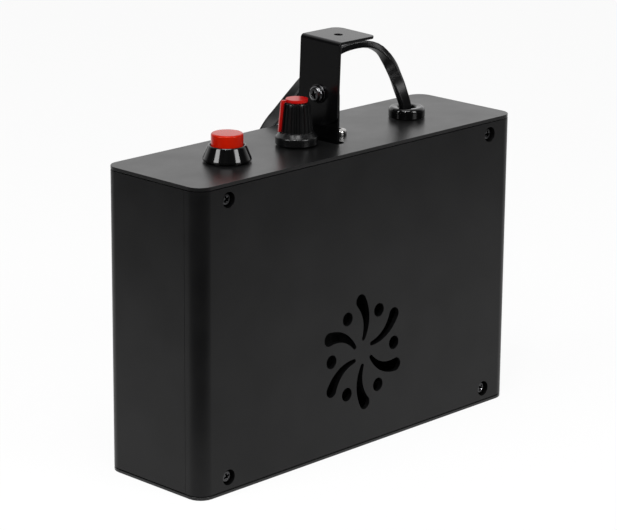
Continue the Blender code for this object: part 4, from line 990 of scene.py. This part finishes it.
def knob_profile():
    """The body's side, the skirt and the hollow for the shaft, before the flutes are cut."""
    shoulder = BODY_HEIGHT - BODY_ROUND
    roof = BODY_HEIGHT - BORE_ROOF
    hollow_radius, hollow_height = SKIRT_HOLLOW
    profile = [
        (0, BODY_HEIGHT - KNOB_CHAMFER),
        (BODY_HEAD_RADIUS - BODY_ROUND, BODY_HEIGHT),
        (BODY_HEAD_RADIUS - BODY_SHOULDER, BODY_HEIGHT - KNOB_CHAMFER),
        (BODY_HEAD_RADIUS, shoulder),
    ]
    for step in range(1, BODY_STEPS + 1):
        share = step / BODY_STEPS
        radius = BODY_HEAD_RADIUS + (BODY_FOOT_RADIUS - BODY_HEAD_RADIUS) * share
        profile.append((radius, shoulder - (shoulder - BODY_FOOT) * share))
    return [
        *profile,
        (BODY_FOOT_RADIUS + BODY_FLARE[0], BODY_FOOT - BODY_FLARE[1]),
        *rounded((SKIRT_RADIUS - SKIRT_ROUND, SKIRT_HEIGHT - SKIRT_DROP), SKIRT_ROUND, 60, 0, 6),
        (SKIRT_RADIUS, KNOB_CHAMFER), (SKIRT_RADIUS - KNOB_CHAMFER, 0), (hollow_radius, 0),
        (hollow_radius, hollow_height), (BORE_RADIUS, hollow_height), (BORE_RADIUS, roof), (0, roof),
    ]


def cut_flutes(knob):
    """Press the flutes into the knob's side."""
    for vert in knob.data.vertices:
        radius = math.hypot(vert.co.x, vert.co.y)
        on_side = BODY_FOOT - FLUTE_ENDS < vert.co.z < BODY_HEIGHT - FLUTE_ENDS
        if on_side and radius > BODY_HEAD_RADIUS - FLUTE_INSIDE:
            shrink = 1 - FLUTE_DEPTH * flute_at(math.atan2(vert.co.y, vert.co.x)) / radius
            vert.co.x *= shrink
            vert.co.y *= shrink


def cut_groove(knob):
    """Cut the groove that holds the pointer bar, along the body's slope."""
    inner = BODY_HEAD_RADIUS - POINTER_SINK
    low = (inner, -POINTER_HALF, BODY_FOOT - POINTER_CLEAR)
    groove = add_box("tool_groove", low, (inner + POINTER_REACH, POINTER_HALF, BODY_HEIGHT + PAST))
    open_piece(groove, "FACE")
    pick(groove, "verts", lambda vert: vert.co.x < inner + NEAR and vert.co.z < BODY_FOOT)
    bpy.ops.transform.translate(value=(BODY_FOOT_RADIUS - BODY_HEAD_RADIUS, 0, 0))
    close_piece()
    combine(knob, "DIFFERENCE", groove)


def model_knob():
    """A fluted body on a round skirt, with a red cap whose bar runs down the side."""
    knob = lathe("knob_body", knob_profile(), steps=KNOB_STEPS)
    cut_flutes(knob)
    cut_groove(knob)
    smooth(knob, 35)
    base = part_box("speed_knob")[0].z
    place = Matrix.Translation((*KNOB_CENTRE, base)) @ Matrix.Rotation(math.radians(KNOB_ANGLE), 4, "Z")
    knob.data.transform(place)
    fit(knob, "knob", "knob_plastic", "speed_knob", body="knob")
    cap = model_knob_cap()
    cap.data.transform(place)
    fit(cap, "crimson", "crimson", "knob_cap", body="knob")


def model_knob_cap():
    """The red disc on the knob's head, with its pointer bar."""
    low = BODY_HEIGHT + DISC_GAP
    high = low + DISC_HEIGHT
    top = high - BAR_STEP
    cap = add_rod("knob_top", (0, 0, 0), DISC_RADIUS, low, high, "Z", steps=72)
    outline = [
        (BAR_START, low), (BODY_HEAD_RADIUS - BAR_SINK, low), (BODY_FOOT_RADIUS - BAR_SINK, BODY_FOOT),
        (BODY_FOOT_RADIUS + POINTER_PROUD, BODY_FOOT), (BODY_HEAD_RADIUS + POINTER_PROUD, low),
        (BODY_HEAD_RADIUS + BAR_NOSE, top), (BAR_START, top),
    ]
    half = POINTER_HALF - POINTER_PLAY
    bar = add_prism("tool_bar", [(x, -half, z) for x, z in outline], (0, 2 * half, 0))
    combine(cap, "UNION", bar)
    return soften(cap, DISC_EDGE, 3, 40)


# Making the bush, the light and the bracket
def model_bush():
    """The round bush that grips the cord, with a full lip and a groove for the plate's edge."""
    low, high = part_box("grommet")
    x, y, _ = middle_of("grommet")
    radius = (high.x - low.x) / 2
    lip = radius + BUSH_LIP
    seat = PLATE_TOP + PLATE_GAP
    under = PLATE_LOW - PLATE_GAP
    rim = seat + BUSH_RIM
    profile = [
        (BUSH_BORE[0], low.z), (radius - BUSH_CHAMFER, low.z), (radius, low.z + BUSH_CHAMFER), (radius, under),
        (BUSH_GROOVE_RADIUS, under), (BUSH_GROOVE_RADIUS, seat), (lip - BUSH_LIP_CHAMFER, seat), (lip, rim),
        *rounded((lip - BUSH_ROUND, high.z - BUSH_ROUND), BUSH_ROUND, 0, 90, 12),
        *rounded((BUSH_MOUTH_RADIUS, high.z - BUSH_MOUTH_DROP), BUSH_MOUTH_ROUND, 90, 180, 5),
        (BUSH_BORE[1], rim), (BUSH_BORE[0], under),
    ]
    bush = lathe("cord_bush", profile, (x, y, 0), steps=80, closed=True)
    smooth(bush, 40)
    fit(bush, "bush", "grommet_rubber", "grommet")


def model_light():
    """The trough reflector, the flash tube and its end caps, with their curves smooth."""
    fit(smooth(copy_solid("trough", "reflector"), 35), "mirror", "polished_aluminium", "reflector")
    fit(smooth(copy_solid("glass_tube", "flash_tube"), 40), "tube", "tube_glass", "flash_tube")
    for number in (1, 2):
        cap = from_solid(f"tube_end_{number}", f"tube_cap_{number}", TUBE_END_EDGE)
        fit(cap, "bright", "nickel", f"tube_cap_{number}")


def model_bracket():
    """The hanger's bent sheet, slightly wider than its solid, and the foot's sheet."""
    hanger = copy_solid("hanger_sheet", "hanger_bracket")
    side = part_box("hanger_bracket")[0].x
    middle = Vector((side, middle_of("hanger_bracket")[1], 0))
    widen = Matrix.Diagonal((*HANGER_STRETCH, 1, 1))
    hanger.data.transform(Matrix.Translation(middle + Vector(HANGER_SHIFT)) @ widen @ Matrix.Translation(-middle))
    soften(hanger, HANGER_EDGE, 3)
    fit(hanger, "sheet", "bracket_steel", "hanger_bracket", body="hanger")
    foot = from_solid("foot_sheet", "foot_bracket", FOOT_EDGE, 3)
    fit(foot, "sheet", "bracket_steel", "foot_bracket")


# Making the cord
def smooth_route(route, step):
    """Points a step apart on a smooth curve through the route's own points."""
    places = [Vector(point) for point in route]
    padded = [2 * places[0] - places[1], *places, 2 * places[-1] - places[-2]]
    fine = []
    for before, start, end, after in zip(padded, padded[1:], padded[2:], padded[3:]):
        for share in [index / ROUTE_PARTS for index in range(ROUTE_PARTS)]:
            bend = (
                2 * start
                + (end - before) * share
                + (2 * before - 5 * start + 4 * end - after) * share**2
                + (3 * start - before - 3 * end + after) * share**3
            )
            fine.append(bend / 2)
    fine.append(places[-1])
    lengths = [0.0]
    for first, second in zip(fine, fine[1:]):
        lengths.append(lengths[-1] + (second - first).length)
    count = max(2, round(lengths[-1] / step))
    points = []
    for index in range(count + 1):
        target = lengths[-1] * index / count
        after = next(place for place, length in enumerate(lengths) if length >= target - 1e-9)
        before = max(after - 1, 0)
        span = lengths[after] - lengths[before] or 1.0
        points.append(fine[before].lerp(fine[after], (target - lengths[before]) / span))
    return points


def coil_points():
    """Loops that spiral in on the lower layer, climb where they turn back, and spiral out on the upper layer."""
    points = []
    for step in range(round(COIL_TURNS * COIL_POINTS_PER_TURN) + 1):
        turns = step / COIL_POINTS_PER_TURN
        angle = math.pi - math.tau * turns
        radius = COIL_OUTER_RADIUS - COIL_PITCH * min(turns, COIL_TURNS - turns)
        climb = smooth_step((turns - COIL_TURNS / 2) * 2 + 0.5)
        x = COIL_CENTRE[0] + radius * math.cos(angle)
        y = COIL_CENTRE[1] + radius * math.sin(angle)
        points.append(Vector((x, y, COIL_LIFT + CORD_WIDTH / 2 + COIL_RISE * climb)))
    return points


def cord_section():
    """The flat jacket's outline: a rectangle with rounded corners, as points (across, up)."""
    reach = (CORD_WIDTH / 2 - CORD_CORNER, CORD_THICKNESS / 2 - CORD_CORNER)
    points = []
    for turn, across, up in ((0, 1, 1), (90, -1, 1), (180, -1, -1), (270, 1, -1)):
        points += rounded((reach[0] * across, reach[1] * up), CORD_CORNER, turn, turn + 90, 4)
    return points


def twist_at(length):
    """How far the flat cord is turned on its side at a length from the bush."""
    turned = 0.0
    for turn, start, end in CORD_TURNS:
        turned += math.radians(turn) * smooth_step((length - start) / (end - start))
    return turned


def sweep(name, points, section, wide):
    """Carry a section along points, turning no more than the line and its own twist do."""
    count = len(section)
    headings = []
    for index in range(len(points)):
        ahead = points[min(index + 1, len(points) - 1)] - points[max(index - 1, 0)]
        headings.append(ahead.normalized())
    wide = Vector(wide)
    length = 0.0
    verts = []
    for index, (point, heading) in enumerate(zip(points, headings)):
        if index:
            wide = headings[index - 1].rotation_difference(heading) @ wide
            length += (point - points[index - 1]).length
        wide = (wide - heading * wide.dot(heading)).normalized()
        turned = Matrix.Rotation(twist_at(length), 3, heading) @ wide
        thick = heading.cross(turned)
        verts += [point + turned * across + thick * up for across, up in section]
    faces = []
    for ring in range(len(points) - 1):
        for corner in range(count):
            after = (corner + 1) % count
            start = ring * count
            faces.append((start + corner, start + after, start + count + after, start + count + corner))
    faces.append(tuple(range(count))[::-1])
    faces.append(tuple(range(len(verts) - count, len(verts))))
    piece = build(name, verts, [], faces)
    open_piece(piece)
    close_outward()
    return piece


def model_cord():
    """One unbroken flat cord, from the bush over the top, down behind the case, round the coil and to the plug."""
    free = smooth_route(CORD_ROUTE, CORD_STEP)
    tail = smooth_route(TAIL_ROUTE, CORD_STEP)
    route = free + coil_points()[1:] + tail[1:]
    plug = from_solid("moulded_plug", "plug_body", PLUG_EDGE, 3)
    fit(plug, "plug", "cord_jacket", "plug_body")
    strap = from_solid("coil_strap", "cord_tie", STRAP_EDGE)
    fit(strap, "sleeve", "gloss_black", "cord_tie")
    cord = sweep("flat_cord", route, cord_section(), (1, 0, 0))
    smooth(cord, 70)
    fit(cord, "jacket", "cord_jacket", "power_cord", "cord_coil", "cord_tail")


# Camera, lamps and surroundings
def place_camera():
    """The photo's viewpoint: turned and raised, then rolled and aimed a little off the case's middle."""
    roll = math.radians(CAMERA_ROLL)
    azimuth = math.radians(CAMERA_AZIMUTH)
    back = heading_at(CAMERA_AZIMUTH, CAMERA_ELEVATION)
    right = Vector((math.cos(azimuth), math.sin(azimuth), 0))
    up = back.cross(right)
    target = Vector(CAMERA_TARGET) + CAMERA_AIM[0] * right + CAMERA_AIM[1] * up
    rolled_right = math.cos(roll) * right + math.sin(roll) * up
    rolled_up = math.cos(roll) * up - math.sin(roll) * right
    data = bpy.data.cameras.new("camera")
    data.lens = CAMERA_LENS
    data.sensor_width = CAMERA_SENSOR
    data.clip_start, data.clip_end = CAMERA_CLIP
    camera = place_object("camera", data)
    turn = Matrix((rolled_right, rolled_up, back)).transposed().to_4x4()
    camera.matrix_world = Matrix.Translation(target + back * CAMERA_DISTANCE) @ turn
    bpy.context.scene.camera = camera


def add_lamp(name, azimuth, elevation, distance, size, power):
    """A soft box that faces the middle of the case."""
    data = bpy.data.lights.new(name, "AREA")
    data.shape = "RECTANGLE"
    data.size, data.size_y = size
    data.energy = power
    lamp = place_object(name, data)
    away = heading_at(azimuth, elevation)
    lamp.location = Vector(CAMERA_TARGET) + away * distance
    lamp.rotation_euler = away.to_track_quat("Z", "Y").to_euler()


def paired(owner, operation, first, second):
    """Two values put together by one operation."""
    node = add_node(owner, "Math")
    node.operation = operation
    join(owner, first, node.inputs[0])
    join(owner, second, node.inputs[1])
    return node.outputs[0]


def seen_or_mirrored(owner):
    """Two values: 1 where the camera, a gloss or glass looks, and 1 where the camera alone looks."""
    rays = add_node(owner, "LightPath").outputs
    mirrored = paired(owner, "MAXIMUM", rays["Is Glossy Ray"], rays["Is Transmission Ray"])
    return paired(owner, "MAXIMUM", rays["Is Camera Ray"], mirrored), rays["Is Camera Ray"]


def along(owner, place, direction):
    """How far a place or a heading reaches along a direction."""
    product = add_node(owner, "VectorMath")
    product.operation = "DOT_PRODUCT"
    product.inputs[1].default_value = direction
    join(owner, place, product.inputs[0])
    return product.outputs["Value"]


def make_world():
    """A white backdrop for the camera. Glosses mirror it behind the case alone, and the room is dimmer."""
    world = bpy.data.worlds.new("studio")
    bpy.context.scene.world = world
    world.use_nodes = True
    background = world.node_tree.nodes["Background"]
    set_inputs(background, {"Color": (1, 1, 1, 1)})
    facing = along(world, add_node(world, "TexCoord").outputs["Generated"], BACKDROP_DIRECTION)
    glow = remap(world, facing, BACKDROP_REACH, (ROOM_GLOW, 1.0))
    mix = add_node(world, "Mix")
    set_inputs(mix, {"A": ROOM_LIGHT})
    shown, seen = seen_or_mirrored(world)
    join(world, shown, mix.inputs["Factor"])
    join(world, paired(world, "MAXIMUM", glow, seen), mix.inputs["B"])
    join(world, mix.outputs["Result"], background.inputs["Strength"])


def make_floor():
    """A white floor. Glosses mirror a pool of light on it, which fades far out and in front of the case."""
    bpy.ops.object.select_all(action="DESELECT")
    bpy.ops.mesh.primitive_plane_add(size=FLOOR_SIZE, location=(0, 0, 0))
    floor = settle("floor")
    material = material_of("pale_floor", (FLOOR_TONE,) * 3, FLOOR_ROUGHNESS, specular=0.0)
    place = add_node(material, "Mapping")
    place.vector_type = "TEXTURE"
    set_inputs(place, {"Location": POOL_CENTRE, "Rotation": (0, 0, math.radians(POOL_TURN)), "Scale": POOL_SIZE})
    spot = add_node(material, "TexCoord").outputs["Object"]
    join(material, spot, place.inputs["Vector"])
    reach = add_node(material, "VectorMath")
    reach.operation = "LENGTH"
    join(material, place.outputs["Vector"], reach.inputs[0])
    pool = remap(material, reach.outputs["Value"], POOL_EDGE, (1.0, POOL_EDGE_GLOW))
    ahead = along(material, spot, FRONT_DIRECTION)
    front = remap(material, ahead, FRONT_REACH, (1.0, FRONT_GLOW))
    mirrored = paired(material, "MULTIPLY", pool, front)
    shown, seen = seen_or_mirrored(material)
    glow = add_node(material, "Emission")
    join(material, paired(material, "MAXIMUM", mirrored, seen), glow.inputs["Strength"])
    share = remap(material, shown, (0.0, 1.0), (0.0, FLOOR_GLOW_SHARE))
    blend(material, share, glow.outputs["Emission"])
    floor.data.materials.append(material)


def light_scene():
    """The surroundings, three soft boxes and a small lamp for the highlights."""
    make_world()
    make_floor()
    for lamp in LAMPS:
        add_lamp(*lamp)
    bpy.context.scene.view_settings.view_transform = "Standard"


place_camera()
dress_solids()
model_cord()
model_case()
model_screws()
model_button()
model_knob()
model_bush()
model_light()
model_bracket()
light_scene()
